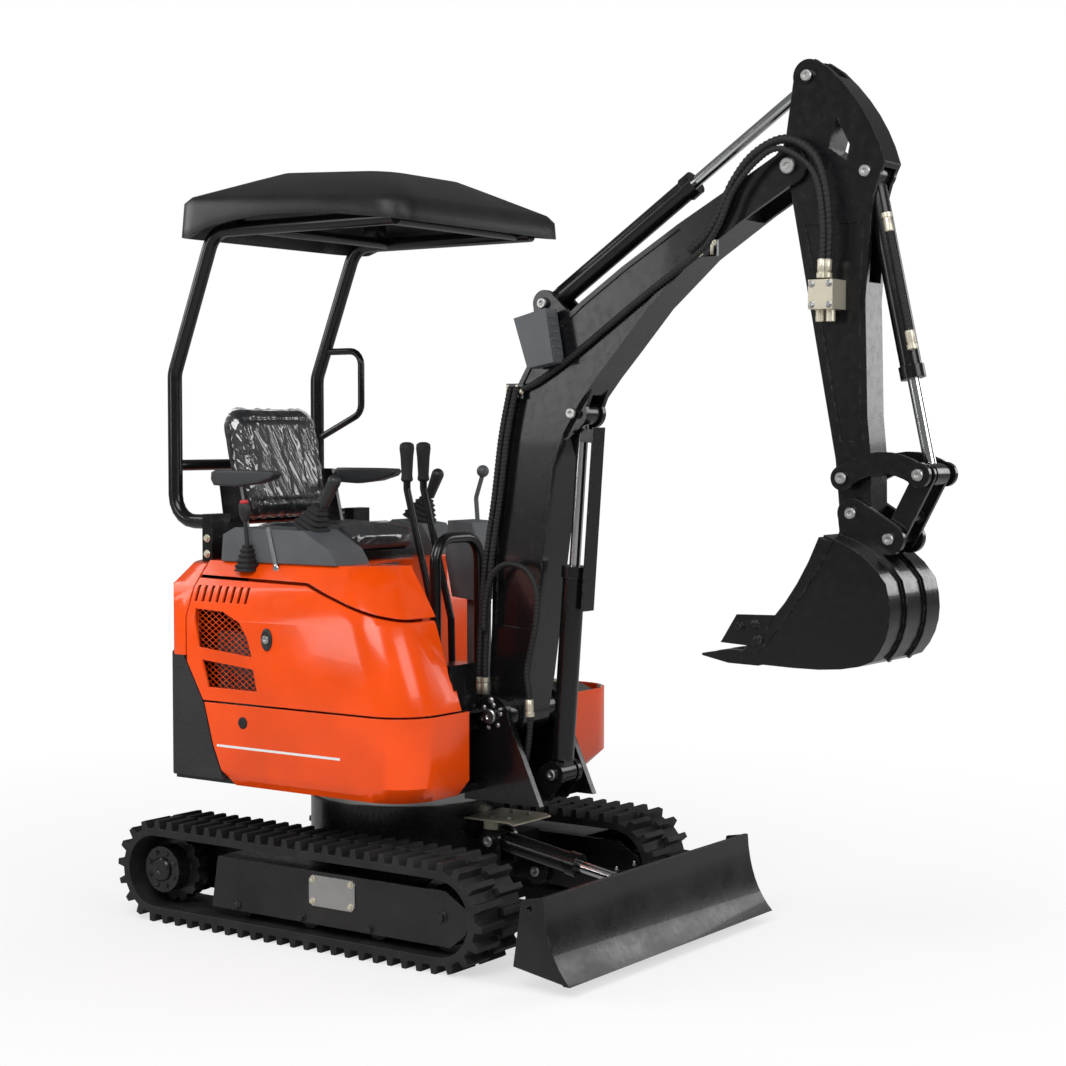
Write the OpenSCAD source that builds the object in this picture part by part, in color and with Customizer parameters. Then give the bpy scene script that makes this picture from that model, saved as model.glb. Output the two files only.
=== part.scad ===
// Mini excavator on rubber tracks with a dozer blade, an open canopy and a
// digging arm. Millimetres, +X forward, +Y to the machine's left, +Z up.
// The origin is on the ground under the slew axis.

/* [Tracks] */
// Width over both tracks
overall_w = 1080; // [1000:1:1200]
// Width of one rubber track
track_w = 210; // [180:1:230]
// Length of a track over its lugs
track_len = 1370; // [1300:1:1500]
// Height of a track over its lugs
track_h = 305; // [290:1:330]
// Height of a rubber lug
lug_h = 24; // [15:1:30]
// Thickness of the rubber belt
belt_t = 22; // [16:1:28]
// Lugs round one side of a track
lug_count = 58; // [40:1:64]
// Gap between a wheel's rim and the belt it runs on
belt_gap = 0.3; // [0.2:0.1:1]
// Teeth on a drive sprocket
sprocket_teeth = 13; // [9:1:17]
// Radius of a bottom roller
roller_r = 38; // [30:1:42]
// Thickness of a track frame's side plates
frame_plate = 10; // [8:1:14]

/* [Slew] */
// Radius of the slewing ring
slew_r = 280; // [240:1:300]
// Height of the top of the fixed race
slew_top = 402; // [390:1:420]
// Height of the fixed race
slew_race_h = 30; // [20:1:40]
// Running gap between the two races
slew_gap = 0.3; // [0.2:0.1:1]

/* [Blade] */
// Height of the blade's arm pivots
blade_pivot_z = 130; // [110:1:150]
// Distance of the blade's arm pivots ahead of the slew axis
blade_pivot_x = 335; // [310:1:360]
// Height of the blade
blade_h = 222; // [180:1:260]
// Thickness of the mouldboard
blade_t = 12; // [8:1:16]
// Distance of the cutting edge ahead of the slew axis
blade_reach = 967; // [930:1:1000]
// Height of the cutting edge above the ground
blade_lift = 30; // [10:1:60]
// Width of a blade arm
blade_arm_w = 44; // [36:1:60]

/* [House] */
// Height of the underside of the deck
deck_z = 432; // [424:1:450]
// Thickness of the deck
deck_t = 20; // [14:1:30]
// Half width of the house over its covers
house_hw = 530; // [500:1:540]
// Distance of the front of the house from the slew axis
house_front = 430; // [400:1:450]
// Radius of the tail about the slew axis
tail_r = 700; // [680:1:720]
// Thickness of a sheet cover
sheet = 8; // [6:1:12]
// Height of the seam between skirts and upper covers
seam_z = 674; // [650:1:700]
// Height of the top of the covers
cover_top = 1072; // [1040:1:1100]
// Height of the top of the counterweight
weight_top = 807; // [760:1:840]
// Gap round the hinged side cover
door_gap = 6; // [5:0.5:10]

/* [Arm] */
// Width of the boom
boom_w = 130; // [120:1:150]
// Width of the stick
stick_w = 96; // [86:1:104]
// Thickness of a clevis plate
clevis_t = 16; // [12:1:20]
// Room on each side of an eye in its clevis
eye_side = 4; // [2:0.5:6]
// Radial running clearance of pins and rods
run_gap = 0.05; // [0.02:0.01:0.1]
// Radius of the boom's foot pin
foot_pin_r = 22; // [18:1:26]
// Radius of the other pins
pin_r = 16; // [12:1:20]
// Width of the bucket
bucket_w = 300; // [240:1:360]
// Thickness of the bucket's plates
bucket_t = 12; // [8:1:16]
// Teeth on the bucket
tooth_count = 4; // [3:1:6]

/* [Cylinders] */
// Radius of the boom cylinder's barrel
boom_cyl_r = 32; // [28:1:36]
// Radius of the stick cylinder's barrel
stick_cyl_r = 30; // [26:1:34]
// Radius of the bucket cylinder's barrel
bucket_cyl_r = 28; // [24:1:32]
// Radius of the blade cylinder's barrel
blade_cyl_r = 30; // [26:1:34]
// Radius of the cylinder rods
rod_r = 16; // [13:1:19]

/* [Canopy and seat] */
// Half distance between the canopy posts
post_y = 330; // [300:1:360]
// Radius of the canopy tubes
tube_r = 22; // [18:1:26]
// Height of the bottom of the roof's rim
roof_z = 2045; // [1980:1:2100]
// Half width of the roof
roof_hw = 420; // [380:1:460]
// Width of the seat cushion
seat_w = 430; // [380:1:460]
// Height of the top of the seat cushion
seat_z = 1175; // [1150:1:1200]

/* [Hidden] */
$fn = 48;

// Track levels
tip_r = track_h / 2;
belt_r = tip_r - lug_h;
inner_r = belt_r - belt_t;
half_run = track_len / 2 - tip_r;
axle_z = tip_r;
track_y = overall_w / 2 - track_w / 2;
frame_out = overall_w / 2 - 25;
frame_in = overall_w / 2 - track_w + 15;

// Deck levels
deck_top = deck_z + deck_t;
floor_z = seam_z - 2;
corner_r = 130;
skirt_in = 40;
deck_in = skirt_in + 10;
skirt_turn = 48;
bay_x = -60;
door_x0 = -400;
fair_y = 292;

// Blade points in the side view
blade_tip = [blade_reach, blade_lift];
blade_head = [blade_reach - 85, blade_lift + blade_h];
blade_pin = [790, 190];
blade_foot = [348, 264];

// Arm pins in the side view
boom_foot = [425, 648];
boom_tip = [1334, 2155];
boom_cyl_foot = [572, 481];
boom_cyl_eye = [648, 1514];
stick_cyl_foot = [543, 1827];
stick_cyl_eye = [1379, 2386];
bucket_cyl_foot = [1544, 2129];
guide_pin = [1504, 1342];
link_pin = [1716, 1352];
bucket_pin = [1522, 1251];
ear_pin = [1629, 1187];

// Widths across the arm, from the middle outwards
eye_hw = 30;
clevis_in = eye_hw + eye_side;
clevis_out = clevis_in + clevis_t;
fork_in = stick_w / 2 + eye_side;
bracket_in = 125;
bracket_out = bracket_in + 20;
ear_in = stick_w / 2 + eye_side;
ear_out = ear_in + clevis_t;
guide_in = ear_out + 6;
guide_out = guide_in + 14;
link_in = eye_hw + eye_side;
link_out = stick_w / 2 - 2;

black = [0.05, 0.05, 0.055];
orange = [0.83, 0.17, 0.05];
steel = [0.75, 0.76, 0.78];
dark = [0.16, 0.165, 0.17];
rubber = [0.07, 0.07, 0.07];

// Points of a curve with one control point
function bow(a, b, c, n = 8) =
    [for (i = [0:n]) let (t = i / n) a * (1 - t) * (1 - t) + b * 2 * t * (1 - t) + c * t * t];

// A list without its first item
function rest(l) = [for (i = [1:len(l) - 1]) l[i]];

// Points of an arc from angle a0 to a1
function arc(c, r, a0, a1, n = 8) =
    [for (i = [0:n]) let (a = a0 + (a1 - a0) * i / n) c + r * [cos(a), sin(a)]];

// Unit direction from one point to another
function dir(a, b) = (b - a) / norm(b - a);

// Unit normal of a list of stations at number i, to the left of the way along it
function side(s, i) =
    let (a = s[max(i - 1, 0)], b = s[min(i + 1, len(s) - 1)], d = dir([a.x, a.y], [b.x, b.y])) [-d.y, d.x];

// Outline round a spine whose stations are [x, z, half depth]
function spine_outline(s) = concat(
    [for (i = [0:len(s) - 1]) [s[i].x, s[i].y] + side(s, i) * s[i].z],
    [for (i = [len(s) - 1:-1:0]) [s[i].x, s[i].y] - side(s, i) * s[i].z]);

// Extrudes a side view outline between two distances to the left
module slab(y0, y1) {
    translate([0, y1, 0]) rotate([90, 0, 0]) linear_extrude(y1 - y0) children();
}

// Draws a slab and its mirror image on the right
module slabs(y0, y1) {
    slab(y0, y1) children();
    slab(-y1, -y0) children();
}

// Draws the children on the left and mirrored on the right
module both() {
    children();
    mirror([0, 1, 0]) children();
}

// Cross pin or boss at a side view point
module pin(p, r, y0, y1) {
    translate([p.x, y1, p.y]) rotate([90, 0, 0]) cylinder(r = r, h = y1 - y0);
}

// Straight bar with round ends in the side view
module bar2d(a, b, r) {
    d = dir(a, b);
    n = [-d.y, d.x] * r;
    polygon([a + n, a - n, b - n, b + n]);
    translate(a) circle(r);
    translate(b) circle(r);
}

// Round rod along a line in the plane y = 0, from distance l0 to l1 ahead of a
module along(a, b, r, l0, l1) {
    d = dir(a, b);
    translate([a.x, 0, a.y]) rotate([0, 90 - atan2(d.y, d.x), 0])
        translate([0, 0, l0]) cylinder(r = r, h = l1 - l0);
}

// Box by its two corners
module box(a, b) {
    translate(a) cube(b - a);
}

// Unit vector
function unit(v) = v / norm(v);

// Path with its corners rounded by bends of one radius
function round_path(p, bend, n = 5) = concat([p[0]],
    [for (i = [1:1:len(p) - 2], k = [0:n])
        let (d = unit(p[i] - p[i - 1]), e = unit(p[i + 1] - p[i]), turn = acos(d * e),
            m = unit(e - d * (d * e)), c = p[i] - d * bend * tan(turn / 2) + m * bend)
        c - m * bend * cos(turn * k / n) + d * bend * sin(turn * k / n)],
    [p[len(p) - 1]]);

// Round bar swept along a path that lies in the plane across the direction up
module sweep(path, r, up, sides = 16) {
    n = len(path);
    rings = [for (i = [0:n - 1], k = [0:sides - 1])
        let (t = unit(path[min(i + 1, n - 1)] - path[max(i - 1, 0)]), a = 360 * k / sides)
        path[i] + r * (cos(a) * up + sin(a) * cross(t, up))];
    polyhedron(rings, concat(
        [[for (k = [0:sides - 1]) k]],
        [for (i = [0:n - 2], k = [0:sides - 1])
            [i * sides + (k + 1) % sides, i * sides + k, (i + 1) * sides + k,
                (i + 1) * sides + (k + 1) % sides]],
        [[for (k = [sides - 1:-1:0]) (n - 1) * sides + k]]));
}

// Tube bent round the corners of a path in the plane across the direction up
module bent_tube(p, r, bend, up) {
    sweep(round_path(p, bend), r, up);
}

// Barrel of a cylinder with its eye at a, pointing at b, bored for its rod
module barrel(a, b, r, length, bore_from, eye_r) {
    d = dir(a, b);
    bore = rod_r + run_gap;
    gland = 34;
    start = eye_r + 6;
    n = [-d.y, d.x] * (r - 4);
    translate([a.x, 0, a.y]) rotate([0, 90 - atan2(d.y, d.x), 0]) rotate([0, 0, 37]) rotate_extrude()
        polygon([[0, start], [r, start], [r, length - gland], [r + 5, length - gland], [r + 5, length],
            [bore, length],
            [bore, bore_from], [0, bore_from]]);
    slab(-eye_hw + 6, eye_hw - 6) polygon([a + d * (pin_r + 4) + n * 0.8, a + d * (pin_r + 4) - n * 0.8,
        a + d * (start + 10) - n * 0.8, a + d * (start + 10) + n * 0.8]);
    difference() {
        pin(a, eye_r, -eye_hw, eye_hw);
        pin(a, pin_r + run_gap, -eye_hw - 1, eye_hw + 1);
    }
}

// Rod of a cylinder from a distance inside its barrel to its eye at b
module rod(a, b, l0, eye_r) {
    along(a, b, rod_r, l0, norm(b - a) - eye_r / 2);
    pin(b, eye_r, -eye_hw, eye_hw);
}

// Points round a track at distance s along its belt, at height r from the axle line
half_turn = PI * belt_r;
run = 2 * half_run;
loop_len = 2 * (run + half_turn);
function loop_point(s, r) =
    let (u = ((s % loop_len) + loop_len) % loop_len)
    u < run ? [-half_run + u, axle_z - r] :
    u < run + half_turn ? [half_run, axle_z] + r * [cos(-90 + (u - run) / half_turn * 180),
        sin(-90 + (u - run) / half_turn * 180)] :
    u < 2 * run + half_turn ? [half_run - (u - run - half_turn), axle_z + r] :
    [-half_run, axle_z] + r * [cos(90 + (u - 2 * run - half_turn) / half_turn * 180),
        sin(90 + (u - 2 * run - half_turn) / half_turn * 180)];

// Outline of the belt with its lugs, shifted along the belt by a share of a pitch
module lug_outline(shift) {
    pitch = loop_len / lug_count;
    polygon([for (i = [0:lug_count - 1], k = [[0.06, 0], [0.16, 1], [0.44, 1], [0.54, 0]])
        loop_point((i + shift + k[0]) * pitch, belt_r + k[1] * lug_h)]);
}

// Inside outline of the belt
module belt_inside(r) {
    translate([-half_run, axle_z - r]) square([run, 2 * r]);
    for (x = [-half_run, half_run]) translate([x, axle_z]) circle(r, $fn = 64);
}

module track(y) {
    difference() {
        union() {
            slab(y, y + track_w / 2) lug_outline(0);
            slab(y - track_w / 2, y) lug_outline(0.5);
        }
        slab(y - track_w, y + track_w) belt_inside(inner_r);
    }
}
module track_right() { color(rubber) track(-track_y); }
module track_left() { color(rubber) track(track_y); }

// Side view of a track frame's plates
frame_x0 = -320;
frame_nose = half_run + 95;
module frame_outline() {
    polygon([[frame_x0, axle_z - 82], [half_run + 28, axle_z - 82], [frame_nose - 16, axle_z - 40],
        [frame_nose, axle_z], [frame_nose - 16, axle_z + 30], [half_run + 12, axle_z + 70],
        [frame_x0 + 25, axle_z + 70]]);
}

module track_frames() {
    color(black) both() {
        slab(frame_out - frame_plate, frame_out) frame_outline();
        slab(frame_in, frame_in + frame_plate) {
            frame_outline();
            translate([-half_run, axle_z - 75]) square([half_run + frame_x0 + 10, 145]);
            translate([-half_run, axle_z]) circle(90);
        }
        box([frame_x0 + 25, frame_in + frame_plate, axle_z + 60], [half_run - inner_r - 12,
            frame_out - frame_plate, axle_z + 70]);
    }
}

// Bolted covers over the track tensioners
module tension_covers() {
    color(steel) both() slab(frame_out, frame_out + 4)
        polygon([[60, 136], [72, 124], [216, 124], [228, 136], [228, 200], [216, 212], [72, 212], [60, 200]]);
}

// Drive sprocket, its hub cover and the travel motor behind it
module sprockets() {
    color(black) both() {
        pin([-half_run, axle_z], 78, frame_in + frame_plate, track_y - 20);
        pin([-half_run, axle_z], 69, track_y, frame_out - 8);
        slab(track_y - 20, track_y + 20) difference() {
            translate([-half_run, axle_z]) circle(inner_r - 3);
            for (i = [0:sprocket_teeth - 1])
                translate([-half_run, axle_z] + (inner_r + 2) * [cos(i * 360 / sprocket_teeth),
                    sin(i * 360 / sprocket_teeth)])
                    circle(15, $fn = 24);
        }
    }
}

module idlers() {
    color(black) both() translate([half_run, 0, axle_z]) rotate([-90, 0, 0]) rotate_extrude()
        polygon([[0, frame_in + frame_plate], [22, frame_in + frame_plate], [22, track_y - 38], [40,
            track_y - 38],
            [40, track_y - 12], [84, track_y - 12], [84, track_y - 40], [inner_r - belt_gap, track_y - 40],
            [inner_r - belt_gap, track_y + 40], [84, track_y + 40], [84, track_y + 12], [40, track_y + 12],
            [40, track_y + 38], [22, track_y + 38], [22, frame_out - frame_plate], [0,
                frame_out - frame_plate]]);
}

roller_xs = [-220, 30, 280];
module rollers() {
    color(black) both() for (x = roller_xs)
        translate([x, 0, axle_z - inner_r + belt_gap + roller_r]) rotate([-90, 0, 0]) rotate_extrude()
            polygon([[0, frame_in + frame_plate], [14, frame_in + frame_plate], [14, track_y - 45],
                [roller_r, track_y - 45],
                [roller_r, track_y - 18], [roller_r - 10, track_y - 12], [roller_r - 10, track_y + 12],
                [roller_r, track_y + 18], [roller_r, track_y + 45], [14, track_y + 45],
                [14, frame_out - frame_plate], [0, frame_out - frame_plate]]);
}

// Centre frame: cross box, pedestal, blade pivots and the blade cylinder's clevis
beam_x = 250;
beam_z0 = 105;
beam_z1 = 232;
pedestal_top = slew_top - slew_race_h;
arm_y = 250;
arm_in = arm_y - blade_arm_w / 2;
arm_out = arm_y + blade_arm_w / 2;
blade_pivot = [blade_pivot_x, blade_pivot_z];
module carbody() {
    color(black) {
        box([-beam_x, -frame_in, beam_z0], [beam_x, frame_in, beam_z1]);
        translate([0, 0, beam_z0]) cylinder(r = slew_r + 10, h = pedestal_top - beam_z0, $fn = 96);
        both() for (y = [arm_in - eye_side - clevis_t, arm_out + eye_side])
            slab(y, y + clevis_t) {
                translate(blade_pivot) circle(40);
                translate([beam_x - 20, beam_z0]) square([blade_pivot_x - beam_x + 20, 80]);
            }
        both() pin(blade_pivot, pin_r, arm_in - eye_side - clevis_t - 4, arm_out + eye_side + clevis_t + 4);
        slabs(clevis_in, clevis_out) {
            translate(blade_foot) circle(34);
            translate([beam_x, beam_z1 - 40]) square([blade_foot.x - beam_x + 30, 72]);
        }
        pin(blade_foot, pin_r, -clevis_out - 4, clevis_out + 4);
    }
}

module slew_ring() {
    color(steel) translate([0, 0, pedestal_top]) difference() {
        cylinder(r = slew_r, h = slew_race_h, $fn = 96);
        translate([0, 0, -1]) cylinder(r = slew_r - 60, h = slew_race_h + 2, $fn = 96);
    }
}

// Bent plate over the rear of the blade cylinder, on the clevis
module blade_guard() {
    top = blade_foot.y + 72;
    color([0.72, 0.62, 0.38]) {
        slab(-95, 95) polygon([[290, top], [450, top], [468, top - 6], [468, top - 10], [450, top - 4],
            [290, top - 4]]);
        slabs(clevis_in, clevis_out) translate([blade_foot.x - 20, blade_foot.y + 34]) square([40, 36]);
    }
}

// Dozer blade: curved mouldboard, end plates, arms and the cylinder's clevis
module blade() {
    front = bow(blade_head, [blade_head.x + 8, blade_lift + 75], blade_tip);
    back = bow(blade_tip - [blade_t + 8, 0], [blade_head.x - blade_t + 6, blade_lift + 70],
        blade_head - [blade_t, 0]);
    color(black) {
        slab(-overall_w / 2, overall_w / 2) polygon(concat(front, back));
        slabs(overall_w / 2 - blade_t, overall_w / 2) difference() {
            polygon(concat(front, [[blade_head.x - 95, blade_lift + 30], [blade_head.x - 68,
                blade_lift + 210]]));
            translate([blade_head.x - 43, blade_lift + 189]) circle(9);
        }
        difference() {
            slabs(arm_in, arm_out) {
                translate(blade_pivot) circle(34);
                polygon([blade_pivot + [0, 34], blade_pivot - [0, 34], [blade_head.x - 60, blade_lift + 30],
                    [blade_head.x + 20, blade_lift + 30], [blade_head.x - 2, blade_lift + 130],
                        [blade_head.x - 60, blade_lift + 120]]);
            }
            for (s = [-1, 1]) pin(blade_pivot, pin_r + run_gap, s * arm_y - blade_arm_w,
                s * arm_y + blade_arm_w);
        }
        slab(-arm_in, arm_in) polygon([[blade_head.x - 60, blade_lift + 60], [blade_head.x - 60,
            blade_lift + 110],
            [blade_head.x - 2, blade_lift + 130], [blade_head.x + 8, blade_lift + 60]]);
        slabs(clevis_in, clevis_out) {
            translate(blade_pin) circle(30);
            polygon([blade_pin + [0, 30], blade_pin - [0, 30], [blade_head.x - 6, blade_lift + 100],
                [blade_head.x - 8, blade_lift + 190]]);
        }
        both() pin(blade_pin, pin_r, clevis_in, clevis_out + 4);
    }
}

module blade_barrel() { color(black) barrel(blade_foot, blade_pin, blade_cyl_r, 290, 60, 27); }
module blade_rod() { color(steel) rod(blade_foot, blade_pin, 140, 27); }

// Deck of the house with the upper race below it
module deck() {
    w = house_hw - deck_in;
    f = house_front - deck_in;
    color(black) {
        intersection() {
            translate([0, 0, deck_z]) linear_extrude(deck_t) polygon(concat([[-tail_r, -w]],
                arc([f - corner_r, corner_r - w], corner_r, -90, 0), [[f, -bracket_out], [330, -bracket_out],
                [330, bracket_out], [f, bracket_out]], arc([f - corner_r, w - corner_r], corner_r, 0,
                    90), [[-tail_r, w]]));
            cylinder(r = tail_r - 10, h = 1000, $fn = 128);
        }
        translate([0, 0, slew_top + slew_gap]) cylinder(r = slew_r - 18,
            h = deck_z - slew_top - slew_gap, $fn = 96);
    }
}

// Plates that carry the boom's foot and the boom cylinder
module boom_bracket() {
    color(black) {
        slabs(bracket_in, bracket_out) {
            polygon([[330, deck_z - 30], [596, deck_z - 30], [480, boom_foot.y + 10], [330,
                boom_foot.y - 60]]);
            translate(boom_foot) circle(60);
        }
        slab(-bracket_in, bracket_in)
            polygon([[330, deck_z - 30], [540, deck_z - 30], [520, deck_z], [330, deck_z + 20]]);
        slabs(clevis_in, clevis_out) {
            translate(boom_cyl_foot) circle(38);
            polygon([[500, deck_z - 30], [560, deck_z - 30], boom_cyl_foot + [36, -12],
                boom_cyl_foot + [-20, 32], [470, deck_z + 10]]);
        }
        pin(boom_cyl_foot, pin_r, -clevis_out - 4, clevis_out + 4);
        pin(boom_foot, foot_pin_r, -bracket_out - 6, bracket_out + 6);
    }
}

// Cast weight round the tail
function corner_edge(gap, low) = [[-302 + gap + 0.44 * (550 - low), low], [-302 + gap, 550], [-337 + gap,
    seam_z - 2],
    [-416 + gap, weight_top]];
module corner_cut() {
    slabs(0, house_hw + 1) polygon(concat([[-tail_r, deck_z - 1]], corner_edge(door_gap, deck_z - 1),
        [[-tail_r, weight_top]]));
}

module counterweight() {
    color(black) {
        translate([0, 0, deck_top]) difference() {
            intersection() {
                cylinder(r = tail_r, h = weight_top - deck_top, $fn = 128);
                box([-tail_r, -house_hw, 0], [door_x0 - 20, house_hw, weight_top]);
            }
            translate([0, 0, -1]) cylinder(r = tail_r - 95, h = weight_top, $fn = 128);
        }
        slabs(house_hw - 60, house_hw) polygon(concat([[door_x0 - 30, deck_top]],
            corner_edge(0, deck_top), [[door_x0 - 30, weight_top]]));
    }
}

// Engine and radiator, as plain masses on the deck
module engine() {
    color(dark) {
        box([-540, -190, deck_top], [-150, 190, deck_top + 430]);
        box([-360, -440, deck_top], [-140, -380, deck_top + 420]);
    }
}

// Rear hood over the counterweight, with its louvres
module hood_form(inset) {
    r = tail_r - 5 - inset;
    w = house_hw - inset;
    low = inset > 0 ? -1 : 0;
    turn = 60;
    intersection() {
        union() {
            translate([0, 0, weight_top + low]) cylinder(r = r, h = cover_top - weight_top - turn, $fn = 128);
            translate([0, 0, cover_top - turn - 1]) cylinder(r1 = r, r2 = r - turn, h = turn + 1 - inset,
                $fn = 128);
        }
        translate([-tail_r, 0, 0]) rotate([90, 0, 90])
            linear_extrude(tail_r + door_x0 - door_gap + (inset > 0 ? 1 : 0)) polygon([[w, 0], [w, 920],
                [w - 34, 1005],
                [w - 92, cover_top - inset], [92 - w, cover_top - inset], [34 - w, 1005], [-w, 920], [-w,
                    0]]);
    }
}

module engine_hood() {
    r = tail_r - 5;
    color(orange) difference() {
        hood_form(0);
        hood_form(sheet);
        for (z = [870:30:990]) box([-tail_r, -170, z], [-r + 90, 170, z + 14]);
    }
}

// Plan of the right panels: a straight side and a rounded front corner
module door_plan(hw, front, r, x0, y1) {
    polygon(concat([[x0, y1], [x0, -hw]], arc([front - r, r - hw], r, -90, 0), [[front, y1]]));
}

// Lower side panels with their rounded front corners and turned-in lower edge
module skirt_form(inset) {
    over = inset > 0 ? 1 : 0;
    hull() {
        translate([0, 0, deck_z - over]) linear_extrude(1)
            door_plan(house_hw - skirt_in - inset, house_front - skirt_in - inset, corner_r,
                -tail_r / 2 - 50, over - 255);
        translate([0, 0, deck_z + skirt_turn]) linear_extrude(seam_z - deck_z - skirt_turn + over)
            door_plan(house_hw - inset, house_front - inset, corner_r, -tail_r / 2 - 50, over - 255);
    }
}

module skirts() {
    color(orange) both() {
        difference() {
            skirt_form(0);
            skirt_form(sheet);
            corner_cut();
        }
        box([-180, -house_hw + skirt_in - 10, deck_top], [250, -house_hw + skirt_in / 2 + 2,
            deck_top + sheet]);
    }
}

// Floor in front of the seat with the bulkheads below it
module floor_plate() {
    color(black) difference() {
        union() {
            box([bay_x, -fair_y + 10, floor_z - 6], [house_front - sheet, house_hw - sheet, floor_z]);
            box([300, -fair_y + 10, deck_top], [312, house_hw - deck_in, floor_z - 6]);
            box([bay_x, -fair_y + 10, deck_top], [bay_x + 12, house_hw - deck_in, floor_z - 6]);
        }
        box([318, -bracket_out - 12, 0], [house_front, bracket_out + 12, 900]);
        translate([house_front - sheet, house_hw - sheet, 0]) rotate([0, 0, 45]) cube([190, 260, 2000],
            center = true);
    }
}

// Bulkhead in front of the engine and the plate under the seat
module seat_pedestal() {
    color(orange) {
        box([bay_x - sheet, -fair_y + 10, floor_z], [bay_x, fair_y - 10, cover_top]);
        box([door_x0, -fair_y + 10, cover_top - sheet], [bay_x - sheet, fair_y - 10, cover_top]);
        both() box([door_x0, fair_y - 10 - sheet, deck_top], [bay_x - sheet, fair_y - 10, cover_top - sheet]);
    }
}

// Right cover as a whole: it is split into the hinged cover and the fairing
module cover_form(inset) {
    over = inset > 0 ? 1 : 0;
    levels = [[seam_z + door_gap - over, 0, 0], [920, 0, 80], [1005, 34, 130], [cover_top + 9 - inset,
        100, 180]];
    hull() for (l = levels) translate([0, 0, l[0]]) linear_extrude(1)
        door_plan(house_hw - l[1] - inset, house_front - l[2] - inset, corner_r, door_x0 - over, 1 - fair_y);
}

// Fixed fairing beside the operator, over the hinged side cover, with its hinge pin
fair_z = 1000;
split_gap = 9;
function split_line(up) = [[door_x0, 1032 + up], [20, 1024 + up], [270, 950 + up], [house_front, 905 + up]];
hinge_at = [398, -300];
hinge_z = 700;
hinge_r = 8;
module fairing_right() {
    color(orange) {
        intersection() {
            difference() {
                cover_form(0);
                cover_form(sheet);
            }
            slab(-house_hw, 0) polygon(concat(split_line(split_gap), [[house_front, 2000], [door_x0, 2000]]));
        }
        box([bay_x, -fair_y, deck_top], [250, -fair_y + 10, cover_top + 10]);
        box([door_x0, -fair_y, deck_top], [bay_x, -fair_y + 10, cover_top + 10]);
        box([250, -fair_y, deck_top], [290, -fair_y + 10, fair_z]);
        box([290, hinge_at.y - 11, hinge_z - 12], [hinge_at.x - 6, -fair_y + 10, hinge_z - 2]);
        translate([hinge_at.x, hinge_at.y, hinge_z - 12]) {
            cylinder(r = hinge_r + 3, h = 10);
            cylinder(r = hinge_r, h = 46);
        }
    }
}

// Left cover behind the step
module side_cover_left() {
    color(orange) difference() {
        hull() {
            box([door_x0, fair_y - 10, seam_z], [bay_x - 5, house_hw, seam_z + 1]);
            box([door_x0, fair_y - 10, 950], [bay_x - 20, house_hw, 951]);
            box([door_x0, fair_y - 10, cover_top - 1], [bay_x - 60, house_hw - 80, cover_top]);
        }
        hull() {
            box([door_x0 - 1, fair_y - 11, seam_z - 1], [bay_x - 5 - sheet, house_hw - sheet, seam_z]);
            box([door_x0 - 1, fair_y - 11, 949], [bay_x - 20 - sheet, house_hw - sheet, 950]);
            box([door_x0 - 1, fair_y - 11, cover_top - sheet - 1], [bay_x - 60 - sheet,
                house_hw - 80 - sheet, cover_top - sheet]);
        }
        corner_cut();
    }
}

// Hinged cover on the right with its air openings
upper_mesh = [[-375, 945], [-262, 941], [-193, 914], [-162, 871], [-143, 816], [-352, 834]];
lower_mesh = [[-340, 798], [-139, 781], [-124, 718], [-316, 719]];
module side_door() {
    color(orange) difference() {
        union() {
            difference() {
                cover_form(0);
                cover_form(sheet);
                box([door_x0 - 1, -fair_y - 12, 0], [hinge_at.x + 14, -fair_y + 2, 2000]);
                slab(-house_hw - 1, 0) polygon(concat(split_line(0), [[house_front + 1, 905],
                    [house_front + 1, 2000],
                    [door_x0 - 1, 2000], [door_x0 - 1, 1032]]));
                corner_cut();
            }
            translate([hinge_at.x, hinge_at.y, hinge_z]) cylinder(r = hinge_r + 7, h = 24);
        }
        translate([hinge_at.x, hinge_at.y, 0]) cylinder(r = hinge_r + run_gap, h = 2000);
        slab(-house_hw - 1, -house_hw + 3 * sheet) {
            polygon(upper_mesh);
            polygon(lower_mesh);
        }
        for (i = [0:7]) box([-388 + 28 * i, -house_hw - 1, 966], [-376 + 28 * i, -house_hw + 60, 1012]);
    }
}

module door_grille() {
    y = 3 * sheet + 2 - house_hw;
    color(black) {
        difference() {
            box([-385, y, 706], [-114, y + 4, 955]);
            for (x = [-379:20:-134], z = [714:20:934]) box([x, y - 1, z], [x + 14, y + 5, z + 14]);
            translate([6, 0, 0]) corner_cut();
        }
        for (x = [-300, -126], z = [700, 800]) box([x, sheet - house_hw, z], [x + 12, y + 1, z + 12]);
    }
}

// Black cover box beside the boom's foot
module front_box() {
    color(black) box([318, -fair_y + 10, floor_z], [384, -bracket_out - 14, floor_z + 130]);
}

// Dark consoles beside the seat
module console_right() {
    y0 = -440;
    color(dark) slab(y0, -fair_y) polygon([[-345, cover_top + 10], [100, cover_top + 10], [72, 1125],
        [-25, 1178],
        [-290, 1182], [-338, 1160]]);
}

module console_left() {
    color(dark) slab(fair_y, 420) polygon([[-330, cover_top], [-125, cover_top], [-130, 1110], [-170, 1170],
        [-290, 1182], [-325, 1160]]);
}

module joystick(base, lean) {
    translate(base) rotate([0, lean, 0]) {
        cylinder(r1 = 34, r2 = 16, h = 46);
        cylinder(r = 8, h = 120);
        translate([0, 0, 100]) cylinder(r1 = 15, r2 = 20, h = 78);
        translate([0, 0, 178]) sphere(20);
    }
}

module joysticks() {
    color(black) {
        intersection() {
            joystick([-60, -366, 1165], 30);
            box([-300, -500, 1179.4], [300, -200, 1600]);
        }
        intersection() {
            joystick([-230, 356, 1165], 25);
            box([-400, 200, 1180], [300, 500, 1600]);
        }
    }
}

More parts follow.
